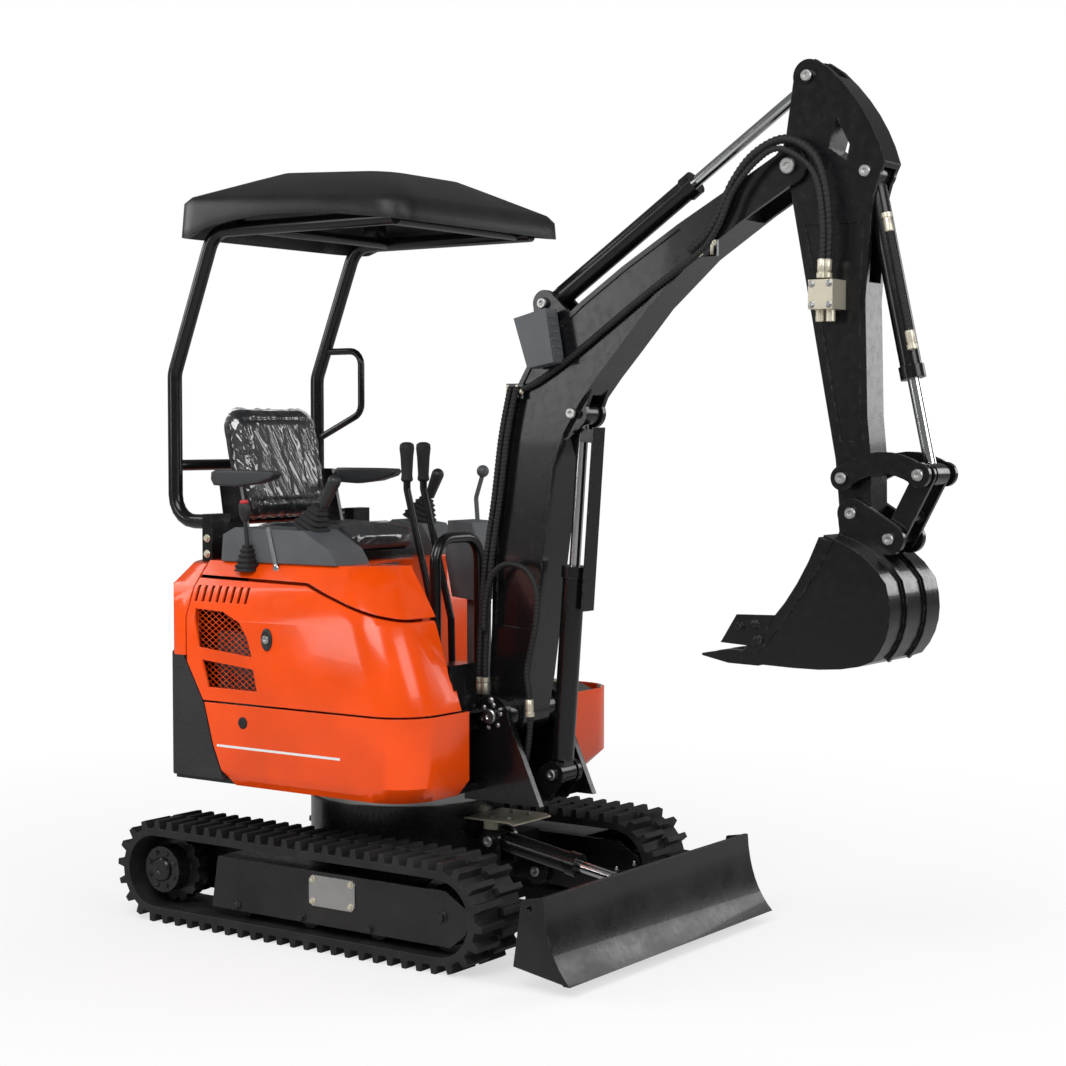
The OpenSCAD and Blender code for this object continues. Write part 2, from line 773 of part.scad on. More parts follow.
// Control column in front of the seat with its ball lever
module control_column() {
    color(dark) {
        box([110, 160, floor_z], [150, 230, 960]);
        slab(130, 265) polygon([[75, 960], [165, 950], [176, 1120], [150, 1188], [60, 1192], [50, 1080]]);
        bent_tube([[110, 215, 1185], [104, 215, 1260], [130, 215, 1335]], 7, 30, [0, 1, 0]);
        translate([130, 215, 1342]) sphere(19);
    }
}

module travel_levers() {
    color(black) for (y = [-20, 60]) {
        bent_tube([[130, y, floor_z + 10], [125, y, 900], [20, y, 1290], [20, y, 1345]], 11, 40, [0, 1, 0]);
        translate([20, y, 1330]) cylinder(r1 = 15, r2 = 18, h = 95);
        box([100, y - 30, floor_z], [160, y + 30, floor_z + 14]);
    }
}

// Seat: slide frame, cushion, back and armrests
cushion_t = 75;
module seat_frame() {
    color(black) {
        box([-480, -170, cover_top], [-110, 170, seat_z - cushion_t]);
        both() slab(seat_w / 2 + 0.3, seat_w / 2 + 14)
            polygon([[-520, cover_top + 14], [-420, cover_top + 14], [-480, 1345], [-560, 1345]]);
        both() box([-500, 160, cover_top], [-430, seat_w / 2 + 14, cover_top + 14]);
    }
}

module seat_cushion() {
    color(dark) hull() for (x = [-470, -120], y = [-seat_w / 2 + 40, seat_w / 2 - 40])
        translate([x, y, seat_z - cushion_t]) cylinder(r = 40, h = cushion_t);
}

module seat_back() {
    color(dark) translate([-484, 0, seat_z + 26.4]) rotate([0, -12, 0]) hull()
        for (y = [-155, 155], z = [40, 300]) translate([-45, y, z]) rotate([0, 90, 0]) cylinder(r = 60,
            h = 80);
}

module armrests() {
    color(dark) both() {
        hull() for (x = [-500, -275]) translate([x, 260, 1328]) rotate([-90, 0, 0]) cylinder(r = 18, h = 50);
        pin([-520, 1328], 14, seat_w / 2 + 14, 270);
    }
}

// Canopy posts, bent from tube, with the pads that take the roof and a grab handle on the left
rail_z = roof_z + 22;
roof_pads = [-420, 110];
module canopy_frame() {
    color(black) {
        both() {
            bent_tube([[-450, post_y, 1190], [-640, post_y, 1190], [-640, post_y, 1640], [-470, post_y,
                rail_z],
                [230, post_y, rail_z]], tube_r, 80, [0, 1, 0]);
            box([-490, post_y - 40, cover_top], [-450, post_y + 40, 1215]);
            for (x = roof_pads) box([x, post_y - 20, rail_z], [x + 60, post_y + 20, rail_z + tube_r + 4]);
        }
        for (p = [[-640, 1360], [-568, 1190]]) pin(p, tube_r - 5, -post_y, post_y);
        for (x = [-330, 180]) pin([x, rail_z], tube_r - 6, -post_y, post_y);
        bent_tube([[-610, post_y, 1727], [-450, post_y, 1727], [-450, post_y, 1525], [-636, post_y,
            1440]], 11, 45, [0, 1, 0]);
    }
}

// One level of the roof: a rounded plan, drawn in at its edges and tilted down to the front
module roof_level(z, in, r) {
    translate([roof_x, 0, z]) rotate([0, roof_tilt, 0]) linear_extrude(1)
        for (x = [in + r - roof_hl, roof_hl - in - r], y = [in + r - roof_hw, roof_hw - in - r])
            translate([x, y]) circle(r, $fn = 32);
}

module roof_form(inset) {
    hull() {
        roof_level(roof_z - 22 - inset, inset, 90);
        roof_level(roof_z + 78 - inset, inset + 6, 90);
        roof_level(roof_z + 98 - inset, inset + 22, 90);
        roof_level(roof_z + 110 - inset, inset + 55, 90);
        roof_level(roof_z + 160 - inset, inset + 160, 90);
        roof_level(roof_z + 185 - inset, inset + 220, 80);
    }
}

// Moulded roof with its arched lower edge
roof_x = -130;
roof_hl = 440;
roof_tilt = 3;
module canopy_roof() {
    color(black) difference() {
        union() {
            difference() {
                roof_form(0);
                roof_form(14);
            }
            both() for (x = roof_pads) box([x, post_y - 20, rail_z + tube_r + 4], [x + 60, post_y + 20,
                roof_z + 88]);
        }
        slab(-roof_hw - 1, roof_hw + 1) polygon(concat([[roof_x - roof_hl - 1, roof_z - 60],
            [roof_x - roof_hl - 1, roof_z - 4],
            [-490, roof_z - 2]], bow([-400, roof_z + 26], [-210, roof_z + 60], [60, roof_z + 36]),
            [[roof_x + roof_hl + 1, roof_z + 6], [roof_x + roof_hl + 1, roof_z - 60]]));
    }
}

// Guard rail in front of the operator's knees
module guard_rail() {
    color(black) {
        bent_tube([[205, -120, floor_z + 40], [205, -120, 1150], [205, 95, 1150], [205, 95,
            floor_z + 40]], 17, 70, [1, 0, 0]);
        for (y = [-120, 95]) translate([205, y, floor_z]) cylinder(r = 24, h = 60);
    }
}

// Boom: stations along its spine with half depths
boom_spine = [[425, 648, 56], [432, 760, 70], [446, 900, 76], [466, 1150, 90], [488, 1380, 100], [525,
    1500, 104],
    [590, 1605, 105], [660, 1685, 102], [740, 1757, 92], [860, 1860, 72], [1025, 1978, 54], [1200, 2080,
        47], [1334, 2155, 46]];
panel_in = 5;
function inner(s, i0, i1, edge) = [for (i = [i0:i1]) [s[i].x, s[i].y, s[i].z - edge]];
module boom() {
    color(black) difference() {
        union() {
            slab(-boom_w / 2, boom_w / 2) {
                polygon(spine_outline(boom_spine));
                translate(boom_foot) circle(60);
                translate(boom_tip) circle(50);
            }
            pin(boom_foot, 50, -bracket_in + eye_side, bracket_in - eye_side);
            slabs(clevis_in, clevis_out) {
                translate(boom_cyl_eye) circle(42);
                polygon([boom_cyl_eye + [38, -18], boom_cyl_eye + [-80, -110], boom_cyl_eye + [-60, 60],
                    boom_cyl_eye + [90, 140],
                    boom_cyl_eye + [38, 18]]);
                translate(stick_cyl_foot) circle(38);
                polygon([stick_cyl_foot + [-36, -10], stick_cyl_foot + [-30, -120],
                    stick_cyl_foot + [120, -60], stick_cyl_foot + [20, 32]]);
            }
            both() pin(boom_cyl_eye, pin_r, clevis_in, clevis_out + 16);
            pin(stick_cyl_foot, pin_r, -clevis_out - 8, clevis_out + 8);
            pin(boom_tip, pin_r + 4, -boom_w / 2 - 8, boom_w / 2 + 8);
        }
        pin(boom_foot, foot_pin_r + run_gap, -bracket_in, bracket_in);
        slabs(boom_w / 2 - panel_in, boom_w / 2 + 1) polygon(spine_outline(inner(boom_spine, 2, 10, 14)));
        difference() {
            slab(-fork_in, fork_in) translate(boom_tip) circle(190);
            pin(boom_tip, pin_r + 4, -boom_w, boom_w);
        }
        slab(-clevis_in, clevis_in) {
            translate(boom_cyl_eye) circle(68);
            bar2d(boom_cyl_eye, boom_cyl_eye - [0, 150], 52);
        }
        difference() {
            slab(-clevis_in, clevis_in) translate(stick_cyl_foot) circle(46);
            pin(stick_cyl_foot, pin_r, -boom_w, boom_w);
        }
    }
}

module work_lamp() {
    color(black) {
        slab(-boom_w / 2 - 62, -boom_w / 2 - 4) polygon([[492, 1782], [600, 1808], [628, 1656], [540, 1640]]);
        slab(-boom_w / 2 - 12, -boom_w / 2) polygon([[540, 1710], [590, 1730], [612, 1662], [556, 1652]]);
    }
}

// Hoses along the arm: hand-drawn routes of round numbers, seen from the side
hose_y = -boom_w / 2 - 24;
clip_y = hose_y + 12.3;
rear_route = [[340, 452], [338, 700], [346, 900], [364, 1090], [394, 1270], [420, 1450], [452, 1590]];
arch_route = [[369, 890], [374, 970], [394, 1040], [430, 1076], [474, 1084], [524, 1066], [556, 1010],
    [554, 920],
    [532, 830], [522, 770], [530, 710], [534, 640], [526, 560], [512, 490], [505, 435]];
arm_route = [[1050, 1946], [1100, 1984], [1142, 2044], [1180, 2120], [1244, 2190], [1334, 2222], [1414, 2180],
    [1450, 2090], [1460, 1980], [1456, 1853]];
// Points of a smooth line through a route, at one distance to the left
function smooth(p, y, n = 3) = concat([for (i = [0:len(p) - 2], k = [0:n - 1])
    let (t = k / n, a = p[max(i - 1, 0)], b = p[i], c = p[i + 1], d = p[min(i + 2, len(p) - 1)],
        q = b + (c - a) * t / 2 + (2 * a - 5 * b + 4 * c - d) * t * t / 2
            + (3 * b - a - 3 * c + d) * t * t * t / 2)
    [q.x, y, q.y]], [[p[len(p) - 1].x, y, p[len(p) - 1].y]]);
module hose(route, y, r) {
    color(rubber) sweep(smooth(route, y), r, [0, 1, 0], 10);
}
module boom_hoses() {
    hose(rear_route, clip_y - 9.3, 9);
    hose([for (p = rear_route) p + [21, 0]], clip_y - 9.3, 9);
    hose(arch_route, clip_y - 27.6, 9);
}
module arm_hoses() {
    hose(arm_route, hose_y, 12);
    hose([for (i = [0:len(arm_route) - 1]) arm_route[i] + [i < 5 ? 12 : i < 8 ? -8 : -4, i < 7 ? -26 : 0]],
        hose_y - 20.4, 8);
}
module boom_clips() {
    color(steel) slab(clip_y, -boom_w / 2) for (p = [[430, 1556], [1064, 1930]]) translate(p) square([60,
        44]);
}
module valve_block() {
    color(steel) {
        slab(hose_y - 30, panel_in - stick_w / 2) translate([1420, 1776]) square([70, 76]);
        for (x = [1440, 1470]) translate([x, hose_y, 1745]) cylinder(r = 12, h = 40);
    }
}
module bucket_hose() {
    d = dir(bucket_cyl_foot, link_pin);
    out = 26;
    a = bucket_cyl_foot + d * 110 + [out, 0];
    b = bucket_cyl_foot + d * 470 + [out, 0];
    y = -sqrt(pow(bucket_cyl_r + 9.4, 2) - pow(out * d.y, 2));
    color(rubber) sweep([[a.x, y, a.y], [b.x, y, b.y]], 9, [0, 1, 0], 10);
}

module boom_barrel() { color(black) barrel(boom_cyl_foot, boom_cyl_eye, boom_cyl_r, 600, 90, 34); }
module boom_rod() {
    a = boom_cyl_foot;
    b = boom_cyl_eye;
    d = dir(a, b);
    l = norm(b - a);
    color(steel) rod(a, b, 390, 34);
    color(black) {
        n = [d.y, -d.x];
        slab(-30, 30) polygon([a + d * (l - 560) + n * 50, a + d * (l - 36) + n * 50,
            a + d * (l - 36) + n * 55,
            a + d * (l - 560) + n * 55]);
        slabs(8, 26) polygon([b - d * 42 + n * 10, b - d * 42 + n * 52, b - d * 80 + n * 52,
            b - d * 80 + n * 10]);
    }
}
module stick_barrel() { color(black) barrel(stick_cyl_foot, stick_cyl_eye, stick_cyl_r, 565, 80, 34); }
module stick_rod() { color(steel) rod(stick_cyl_foot, stick_cyl_eye, 470, 32); }
module bucket_barrel() { color(black) barrel(bucket_cyl_foot, link_pin, bucket_cyl_r, 545, 70, 34); }
module bucket_rod() { color(steel) rod(bucket_cyl_foot, link_pin, 340, 30); }

// Stick with its horn, its window and its clevises
module stick() {
    color(black) difference() {
        union() {
            slab(-stick_w / 2, stick_w / 2) difference() {
                polygon(concat(
                    [stick_cyl_eye + [-40, 10], stick_cyl_eye + [20, 42]],
                    bow([1440, 2400], [1560, 2290], [1600, 2150], 6),
                    [bucket_cyl_foot + [36, -20], [1566, 2060], [1548, 1800], [1556, 1500], [1566, 1400],
                        bucket_pin + [46, 0]],
                    [bucket_pin + [-44, 10], [1466, 1390], [1330, 2094], boom_tip + [-46, 20],
                        boom_tip + [-20, 70]]));
                polygon([[1462, 2272], [1440, 2196], [1492, 2160], [1500, 2200]]);
            }
            slab(-stick_w / 2, stick_w / 2) for (p = [[boom_tip, 48], [stick_cyl_eye, 44],
                [bucket_cyl_foot, 44], [bucket_pin, 46]])
                translate(p[0]) circle(p[1]);
            both() pin(stick_cyl_eye, pin_r, clevis_in - 6, stick_w / 2 + 8);
            both() pin(guide_pin, pin_r, 0, guide_out + 4);
        }
        pin(boom_tip, pin_r + 4 + run_gap, -stick_w, stick_w);
        slabs(stick_w / 2 - panel_in, stick_w / 2 + 1)
            polygon([[1372, 2000], [1480, 1436], [1544, 1436], [1536, 1500], [1530, 1800], [1540, 2000]]);
        pin(bucket_pin, pin_r + 2 + run_gap, -stick_w, stick_w);
        slab(-clevis_in, clevis_in) translate(stick_cyl_eye) circle(82);
        difference() {
            slab(-clevis_in, clevis_in) {
                translate(bucket_cyl_foot) circle(50);
                bar2d(bucket_cyl_foot, bucket_cyl_foot + [14, -240], 44);
            }
            pin(bucket_cyl_foot, pin_r, -stick_w, stick_w);
        }
    }
}

// Curved side links from the stick to the cylinder's rod
module guide_links() {
    mid = (guide_pin + link_pin) / 2 + [0, 70];
    arch = bow(guide_pin, mid, link_pin, 8);
    color(black) difference() {
        slabs(guide_in, guide_out) {
            polygon(spine_outline([for (p = arch) [p.x, p.y, 28]]));
            translate(guide_pin) circle(32);
            translate(link_pin) circle(32);
        }
        both() pin(guide_pin, pin_r + run_gap, guide_in - 1, guide_out + 1);
    }
    color(steel) both() pin(link_pin, pin_r, ear_in, guide_in);
}

// Link between the bucket and the cylinder's rod
module bucket_link() {
    color(black) difference() {
        slabs(link_in, link_out) bar2d(ear_pin, link_pin, 28);
        pin(ear_pin, pin_r + run_gap, -stick_w, stick_w);
    }
    color(black) slab(-link_in, link_in) translate(ear_pin * 0.65 + link_pin * 0.35) circle(18);
}

// Bucket: curved shell, sides, ears, lip and teeth
bucket_back = [1655, 1076];
bucket_heel = [1620, 884];
bucket_shell = concat(bow([1484, 1192], [1600, 1160], bucket_back, 4), rest(bow(bucket_back, [1690, 960],
    bucket_heel, 6)),
    rest(bow(bucket_heel, [1560, 852], [1400, 856], 4)), [[1243, 861]]);
function bucket_rib(i, out) = bucket_shell[i] + side(bucket_shell, i) * out;
module bucket() {
    color(black) {
        slab(-bucket_w / 2, bucket_w / 2) polygon(spine_outline([for (p = bucket_shell) [p.x, p.y,
            bucket_t / 2]]));
        slabs(bucket_w / 2 - bucket_t, bucket_w / 2) polygon(concat(bucket_shell, [[1240, 880]],
            bow([1337, 972], [1420, 1060], [1474, 1192], 4)));
        slabs(bucket_w / 2, bucket_w / 2 + 8) polygon([[1188, 906], [1236, 982], [1346, 985], [1300, 900]]);
        slabs(ear_in, ear_out) {
            bar2d(bucket_pin, ear_pin, 40);
            polygon([bucket_pin + [-38, -10], [1490, 1190], [1600, 1140], ear_pin + [38, -10]]);
        }
        slabs(ear_in, ear_out) polygon(concat([for (i = [0:10]) bucket_rib(i, bucket_t / 2 + 9)],
            [for (i = [10:-1:0]) bucket_rib(i, 0)]));
        slabs(bucket_w / 2 - 1, bucket_w / 2 + 5) polygon(concat([[1250, 884]], bow([1337, 972], [1420,
            1060], [1474, 1192], 4),
            bow([1512, 1180], [1440, 1040], [1300, 884], 4)));
        pin(bucket_pin, pin_r + 2, -ear_out - 4, ear_out + 4);
        pin(ear_pin, pin_r, -ear_out - 4, ear_out + 4);
        for (i = [0:tooth_count - 1]) {
            y = -bucket_w / 2 + 28 + i * (bucket_w - 56) / (tooth_count - 1);
            slab(y - 16, y + 16) polygon([[1290, 848], [1290, 884], [1200, 886], [1120, 872], [1120,
                866], [1200, 850]]);
        }
    }
}

carbody();
slew_ring();
track_frames();
tension_covers();
track_right();
track_left();
sprockets();
idlers();
rollers();
blade_guard();
blade();
blade_barrel();
blade_rod();
deck();
boom_bracket();
counterweight();
engine();
engine_hood();
skirts();
floor_plate();
seat_pedestal();
fairing_right();
side_cover_left();
side_door();
door_grille();
front_box();
console_right();
console_left();
joysticks();
control_column();
travel_levers();
seat_frame();
seat_cushion();
seat_back();
armrests();
canopy_frame();
canopy_roof();
guard_rail();
boom();
work_lamp();
boom_barrel();
boom_rod();
stick_barrel();
stick_rod();
stick();
bucket_barrel();
bucket_rod();
guide_links();
bucket_link();
bucket();
boom_hoses();
arm_hoses();
boom_clips();
valve_block();
bucket_hose();
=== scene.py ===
import math

import bmesh
import bpy
from mathutils import Matrix, Vector, noise


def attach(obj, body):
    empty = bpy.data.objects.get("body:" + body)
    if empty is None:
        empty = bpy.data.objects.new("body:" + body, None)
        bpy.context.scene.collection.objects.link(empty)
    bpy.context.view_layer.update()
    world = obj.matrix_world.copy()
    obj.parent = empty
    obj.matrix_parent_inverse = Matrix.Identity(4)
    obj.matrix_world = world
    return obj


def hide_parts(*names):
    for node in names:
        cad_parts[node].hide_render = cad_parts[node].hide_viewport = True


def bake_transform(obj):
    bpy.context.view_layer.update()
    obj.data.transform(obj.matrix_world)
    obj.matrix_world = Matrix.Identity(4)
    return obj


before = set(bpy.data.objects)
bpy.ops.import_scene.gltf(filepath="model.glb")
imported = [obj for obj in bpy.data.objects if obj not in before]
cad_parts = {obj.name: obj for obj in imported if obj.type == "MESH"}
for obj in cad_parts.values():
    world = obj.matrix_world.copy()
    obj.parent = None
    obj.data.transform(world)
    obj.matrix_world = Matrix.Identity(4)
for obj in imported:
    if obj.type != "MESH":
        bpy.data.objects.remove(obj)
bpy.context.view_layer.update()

# Studio: a pale floor under soft boxes, in a room that the camera and glass see white and that
# bright metal mirrors dimly, so that black enamel stays black. The camera stands off the right
# front corner, at the height of the joysticks.


class Wire:
    """A socket of a node tree. Sums and products of wires add Math nodes to the tree."""

    def __init__(self, tree, socket=None):
        self.tree = tree
        self.socket = socket

    def make(self, kind, settings, sockets, output=0):
        """Adds a node: its settings first, then the values or links of its sockets."""
        node = self.tree.nodes.new(kind)
        for key, value in settings.items():
            setattr(node, key, value)
        for key, value in sockets.items():
            if isinstance(value, Wire):
                self.tree.links.new(value.socket, node.inputs[key])
            else:
                node.inputs[key].default_value = value
        return Wire(self.tree, node.outputs[output] if node.outputs else None)

    def math(self, operation, *terms):
        """The outcome of a Math node on its terms."""
        return self.make("ShaderNodeMath", {"operation": operation}, dict(enumerate(terms)))

    def __add__(self, other):
        return self.math("ADD", self, other)

    def __rsub__(self, other):
        return self.math("SUBTRACT", other, self)

    def __mul__(self, other):
        return self.math("MULTIPLY", self, other)

    __radd__ = __add__
    __rmul__ = __mul__

    def span(self, low, high, to_low=0.0, to_high=1.0):
        """The value's place between low and high, held inside the two."""
        ends = {"From Min": low, "From Max": high, "To Min": to_low, "To Max": to_high}
        return self.make("ShaderNodeMapRange", {}, {"Value": self, **ends})

    def tint(self, plain, marked):
        """A colour that goes from plain to marked as the value goes from 0 to 1."""
        ends = {6: plain, 7: marked}
        return self.make("ShaderNodeMix", {"data_type": "RGBA"}, {0: self, **ends}, 2)

    def place(self):
        """The point in the object's own metres."""
        return self.make("ShaderNodeTexCoord", {}, {}, "Object")

    def noise(self, scale, detail=2.0, stretch=(1, 1, 1)):
        """Cloudy noise over the object's own metres."""
        point = self.make("ShaderNodeMapping", {}, {"Vector": self.place(), "Scale": stretch})
        return self.make(
            "ShaderNodeTexNoise", {}, {"Vector": point, "Scale": scale, "Detail": detail}
        )


def grey(value):
    """A neutral colour."""
    return (value, value, value, 1)


room_white = grey(1.0)
ambient_light, mirrored_light = 0.44, 0.15
world = bpy.data.worlds.new("white_room")
bpy.context.scene.world = world
world.use_nodes = True
world.node_tree.nodes.clear()
room = Wire(world.node_tree)
camera_ray, glass_ray, mirror_ray = (
    room.make("ShaderNodeLightPath", {}, {}, kind)
    for kind in ("Is Camera Ray", "Is Transmission Ray", "Is Glossy Ray")
)
room_level = (
    ambient_light
    + room.math("MAXIMUM", camera_ray, glass_ray) * (1 - ambient_light)
    + mirror_ray * (mirrored_light - ambient_light)
)
room_glow = {"Color": room_white, "Strength": room_level}
room_light = room.make("ShaderNodeBackground", {}, room_glow)
room.make("ShaderNodeOutputWorld", {}, {"Surface": room_light})

camera_data = bpy.data.cameras.new("photo_camera")
camera_data.sensor_fit = "HORIZONTAL"
camera_data.sensor_width = 36.0
camera_data.lens = 70.54
camera_data.clip_end = 60.0
camera = bpy.data.objects.new("photo_camera", camera_data)
camera.location = (3.9534, -4.9401, 1.4528)
camera.rotation_euler = (math.radians(87.315), 0, math.radians(35.188))
bpy.context.collection.objects.link(camera)
bpy.context.scene.camera = camera
bpy.context.scene.view_settings.view_transform = "Standard"

soft_boxes = (
    ("key_box", (1.6, -4.2, 4.6), (0.3, 0.0, 0.9), 3.0, 160.0),
    ("side_box", (-3.5, -5.6, 2.3), (0.4, 0.0, 1.2), 1.8, 36.0),
    ("front_box_light", (5.2, -0.6, 3.2), (0.8, 0.0, 1.0), 2.4, 70.0),
    ("left_box", (0.5, 4.4, 3.6), (0.2, 0.0, 1.0), 2.6, 60.0),
    ("left_front_box", (3.4, 4.6, 2.5), (-0.2, 0.0, 1.2), 1.7, 34.0),
    ("rear_box", (-4.2, -1.6, 3.4), (-0.2, 0.0, 1.0), 2.4, 60.0),
)
for box_name, box_at, aim, edge_length, watts in soft_boxes:
    lamp = bpy.data.lights.new(box_name, "AREA")
    lamp.size = edge_length
    lamp.energy = watts
    lamp_holder = bpy.data.objects.new(box_name, lamp)
    lamp_holder.location = box_at
    way = Vector(aim) - Vector(box_at)
    lamp_holder.rotation_euler = way.to_track_quat("-Z", "Y").to_euler()
    lamp_holder.visible_glossy = box_name != "left_box"
    bpy.context.collection.objects.link(lamp_holder)

floor_half = 14.0
floor_mesh = bpy.data.meshes.new("studio_floor")
floor_signs = ((-1, -1), (1, -1), (1, 1), (-1, 1))
floor_corners = [(x * floor_half, y * floor_half, 0) for x, y in floor_signs]
floor_mesh.from_pydata(floor_corners, [], [(0, 1, 2, 3)])
studio_floor = bpy.data.objects.new("studio_floor", floor_mesh)
bpy.context.collection.objects.link(studio_floor)


def new_finish(name):
    """An empty node material and the wire that starts its tree."""
    material = bpy.data.materials.new(name)
    material.use_nodes = True
    material.node_tree.nodes.clear()
    return material, Wire(material.node_tree)


floor_finish, tree = new_finish("studio_floor_white")
floor_tone, shadow_near, shadow_far, shadow_glow = grey(0.86), 0.9, 3.6, 0.62
mirror_share, mirror_glow = 0.6, 0.2
camera_ray, mirror_ray = (
    tree.make("ShaderNodeLightPath", {}, {}, kind) for kind in ("Is Camera Ray", "Is Glossy Ray")
)
floor_matt = tree.make("ShaderNodeBsdfDiffuse", {}, {"Color": floor_tone})
floor_glow = tree.make("ShaderNodeEmission", {}, {"Color": room_white, "Strength": 1.0})
floor_spot = tree.make("ShaderNodeVectorMath", {"operation": "LENGTH"}, {0: tree.place()}, "Value")
floor_share = camera_ray * floor_spot.span(shadow_near, shadow_far, shadow_glow, 1.0)
floor_seen = tree.make("ShaderNodeMixShader", {}, {0: floor_share, 1: floor_matt, 2: floor_glow})
floor_dim = tree.make("ShaderNodeEmission", {}, {"Color": room_white, "Strength": mirror_glow})
mirrored = {0: mirror_ray * mirror_share, 1: floor_seen, 2: floor_dim}
floor_mix = tree.make("ShaderNodeMixShader", {}, mirrored)
tree.make("ShaderNodeOutputMaterial", {}, {"Surface": floor_mix})
floor_mesh.materials.append(floor_finish)

# Undercarriage: a welded car body with a track frame on each side, the slew ring bolted on
# top, and cast rollers, idlers and sprockets. All of it is sprayed in gloss black enamel, but
# for the slew ring and the covers of the track tension, which are bare steel.


def close_finish(tree, **sockets):
    """Ends a material in one Principled surface."""
    named = {key.replace("_", " "): value for key, value in sockets.items()}
    shader = tree.make("ShaderNodeBsdfPrincipled", {}, named)
    tree.make("ShaderNodeOutputMaterial", {}, {"Surface": shader})


def soft_edges(tree, radius):
    """A normal that rounds the edges, and a mask that is 1 along them."""
    rounded = tree.make("ShaderNodeBevel", {"samples": 4}, {"Radius": radius})
    flat = tree.make("ShaderNodeNewGeometry", {}, {}, "Normal")
    pair = {0: rounded, 1: flat}
    same = tree.make("ShaderNodeVectorMath", {"operation": "DOT_PRODUCT"}, pair, "Value")
    return rounded, (1 - same).span(0.02, 0.22)


def relief(tree, height, depth, under):
    """Bumps of a real depth, in metres, on a normal."""
    raised = {"Strength": 1.0, "Distance": depth, "Height": height, "Normal": under}
    return tree.make("ShaderNodeBump", {}, raised)


def enamel(name, colour, rubbed, gloss, dust_level):
    """Sprayed enamel with orange peel, rubbed edges and road dust below dust_level metres."""
    material, tree = new_finish(name)
    rounded, edge = soft_edges(tree, 0.003)
    scuffs = tree.noise(46, 5)
    clouds = tree.noise(4, 3)
    rub = edge * scuffs.span(0.47, 0.62)
    level = tree.make("ShaderNodeSeparateXYZ", {}, {"Vector": tree.place()}, "Z")
    dust = level.span(dust_level, 0.0) * clouds.span(0.35, 0.75) * 0.35
    deep = tuple(c * 0.8 for c in colour[:3]) + (1,)
    body = clouds.span(0.3, 0.7).tint(deep, colour)
    dusty = dust.tint(body, (0.07, 0.062, 0.054, 1))
    peel = relief(tree, tree.noise(520, 1), 0.00012, rounded)
    close_finish(
        tree,
        Base_Color=rub.tint(dusty, rubbed),
        Roughness=gloss + scuffs.span(0.4, 0.8) * 0.12 + dust * 0.8 + rub * 0.1,
        Specular_IOR_Level=0.36,
        Coat_Weight=0.25 * (1 - dust),
        Coat_Roughness=0.05,
        Normal=peel,
    )
    return material


def dress(material, *nodes, smooth_angle=28):
    """Gives CAD nodes their finish, with smooth turned faces and hard edges."""
    for name in nodes:
        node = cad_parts[name]
        node.data.materials.clear()
        node.data.materials.append(material)
        node.data.attributes.remove(node.data.attributes["custom_normal"])
        node.data.shade_smooth()
        node.modifiers.new("joined_faces", "WELD").merge_threshold = 0.00005
        hard = node.modifiers.new("hard_edges", "EDGE_SPLIT")
        hard.split_angle = math.radians(smooth_angle)
        hard.use_edge_sharp = False


near_black, rubbed_grey = (0.0055, 0.0058, 0.0066, 1), (0.09, 0.09, 0.095, 1)
black_enamel = enamel("black_enamel", near_black, rubbed_grey, 0.2, 0.5)
dress(black_enamel, "carbody", "track_frames", "sprockets", "idlers", "rollers")


def bright_metal(name, colour, rough, marks, metal=1.0):
    """Bare or plated metal with drawn marks and faint stains."""
    material, tree = new_finish(name)
    rounded = soft_edges(tree, 0.0015)[0]
    drawn = tree.noise(60, 3, marks)
    stain = tree.noise(9, 4).span(0.45, 0.75)
    dull = tuple(c * 0.6 for c in colour[:3]) + (1,)
    close_finish(
        tree,
        Base_Color=(stain * 0.5).tint(colour, dull),
        Metallic=metal,
        Roughness=rough + drawn.span(0.3, 0.7) * 0.12 + stain * 0.1,
        Normal=relief(tree, drawn, 0.00006, rounded),
    )
    return material


bare_steel = bright_metal("bare_steel", (0.56, 0.56, 0.55, 1), 0.28, (1, 1, 12))
zinc_plate = bright_metal("zinc_plate", (0.76, 0.71, 0.57, 1), 0.3, (14, 1, 1), 0.7)
dress(bare_steel, "slew_ring", "tension_covers")


def join_rings(shape, rings):
    """Skins rings of points, each to the next, and closes both ends."""
    for low, high in zip(rings, rings[1:]):
        for k in range(len(low)):
            j = (k + 1) % len(low)
            shape.faces.new((low[k], low[j], high[j], high[k]))
    shape.faces.new(rings[0][::-1])
    shape.faces.new(rings[-1])


def lathe(shape, at, way, profile, sides, turn=0.0):
    """Adds a turned solid: radius and height pairs, from one closed end to the other."""
    aim = Vector(way).to_track_quat("Z", "Y").to_matrix().to_4x4()
    aim.translation = Vector(at)
    rings = []
    for radius, height in profile:
        angles = [turn + 2 * math.pi * k / sides for k in range(sides)]
        points = [Vector((radius * math.cos(a), radius * math.sin(a), height)) for a in angles]
        rings.append([shape.verts.new(aim @ p) for p in points])
    join_rings(shape, rings)


def add_bolt(shape, at, way, size, turn=0.3):
    """Adds a hexagon bolt head on its washer, size being the head's radius."""
    washer = [(1.32, -0.05), (1.36, 0.12), (1.28, 0.22), (0.9, 0.22)]
    head = [(1.0, 0.1), (1.0, 0.82), (0.86, 0.98), (0.4, 1.0)]
    lathe(shape, at, way, [(size * r, size * h) for r, h in washer], 24)
    lathe(shape, at, way, [(size * r, size * h) for r, h in head], 6, turn)


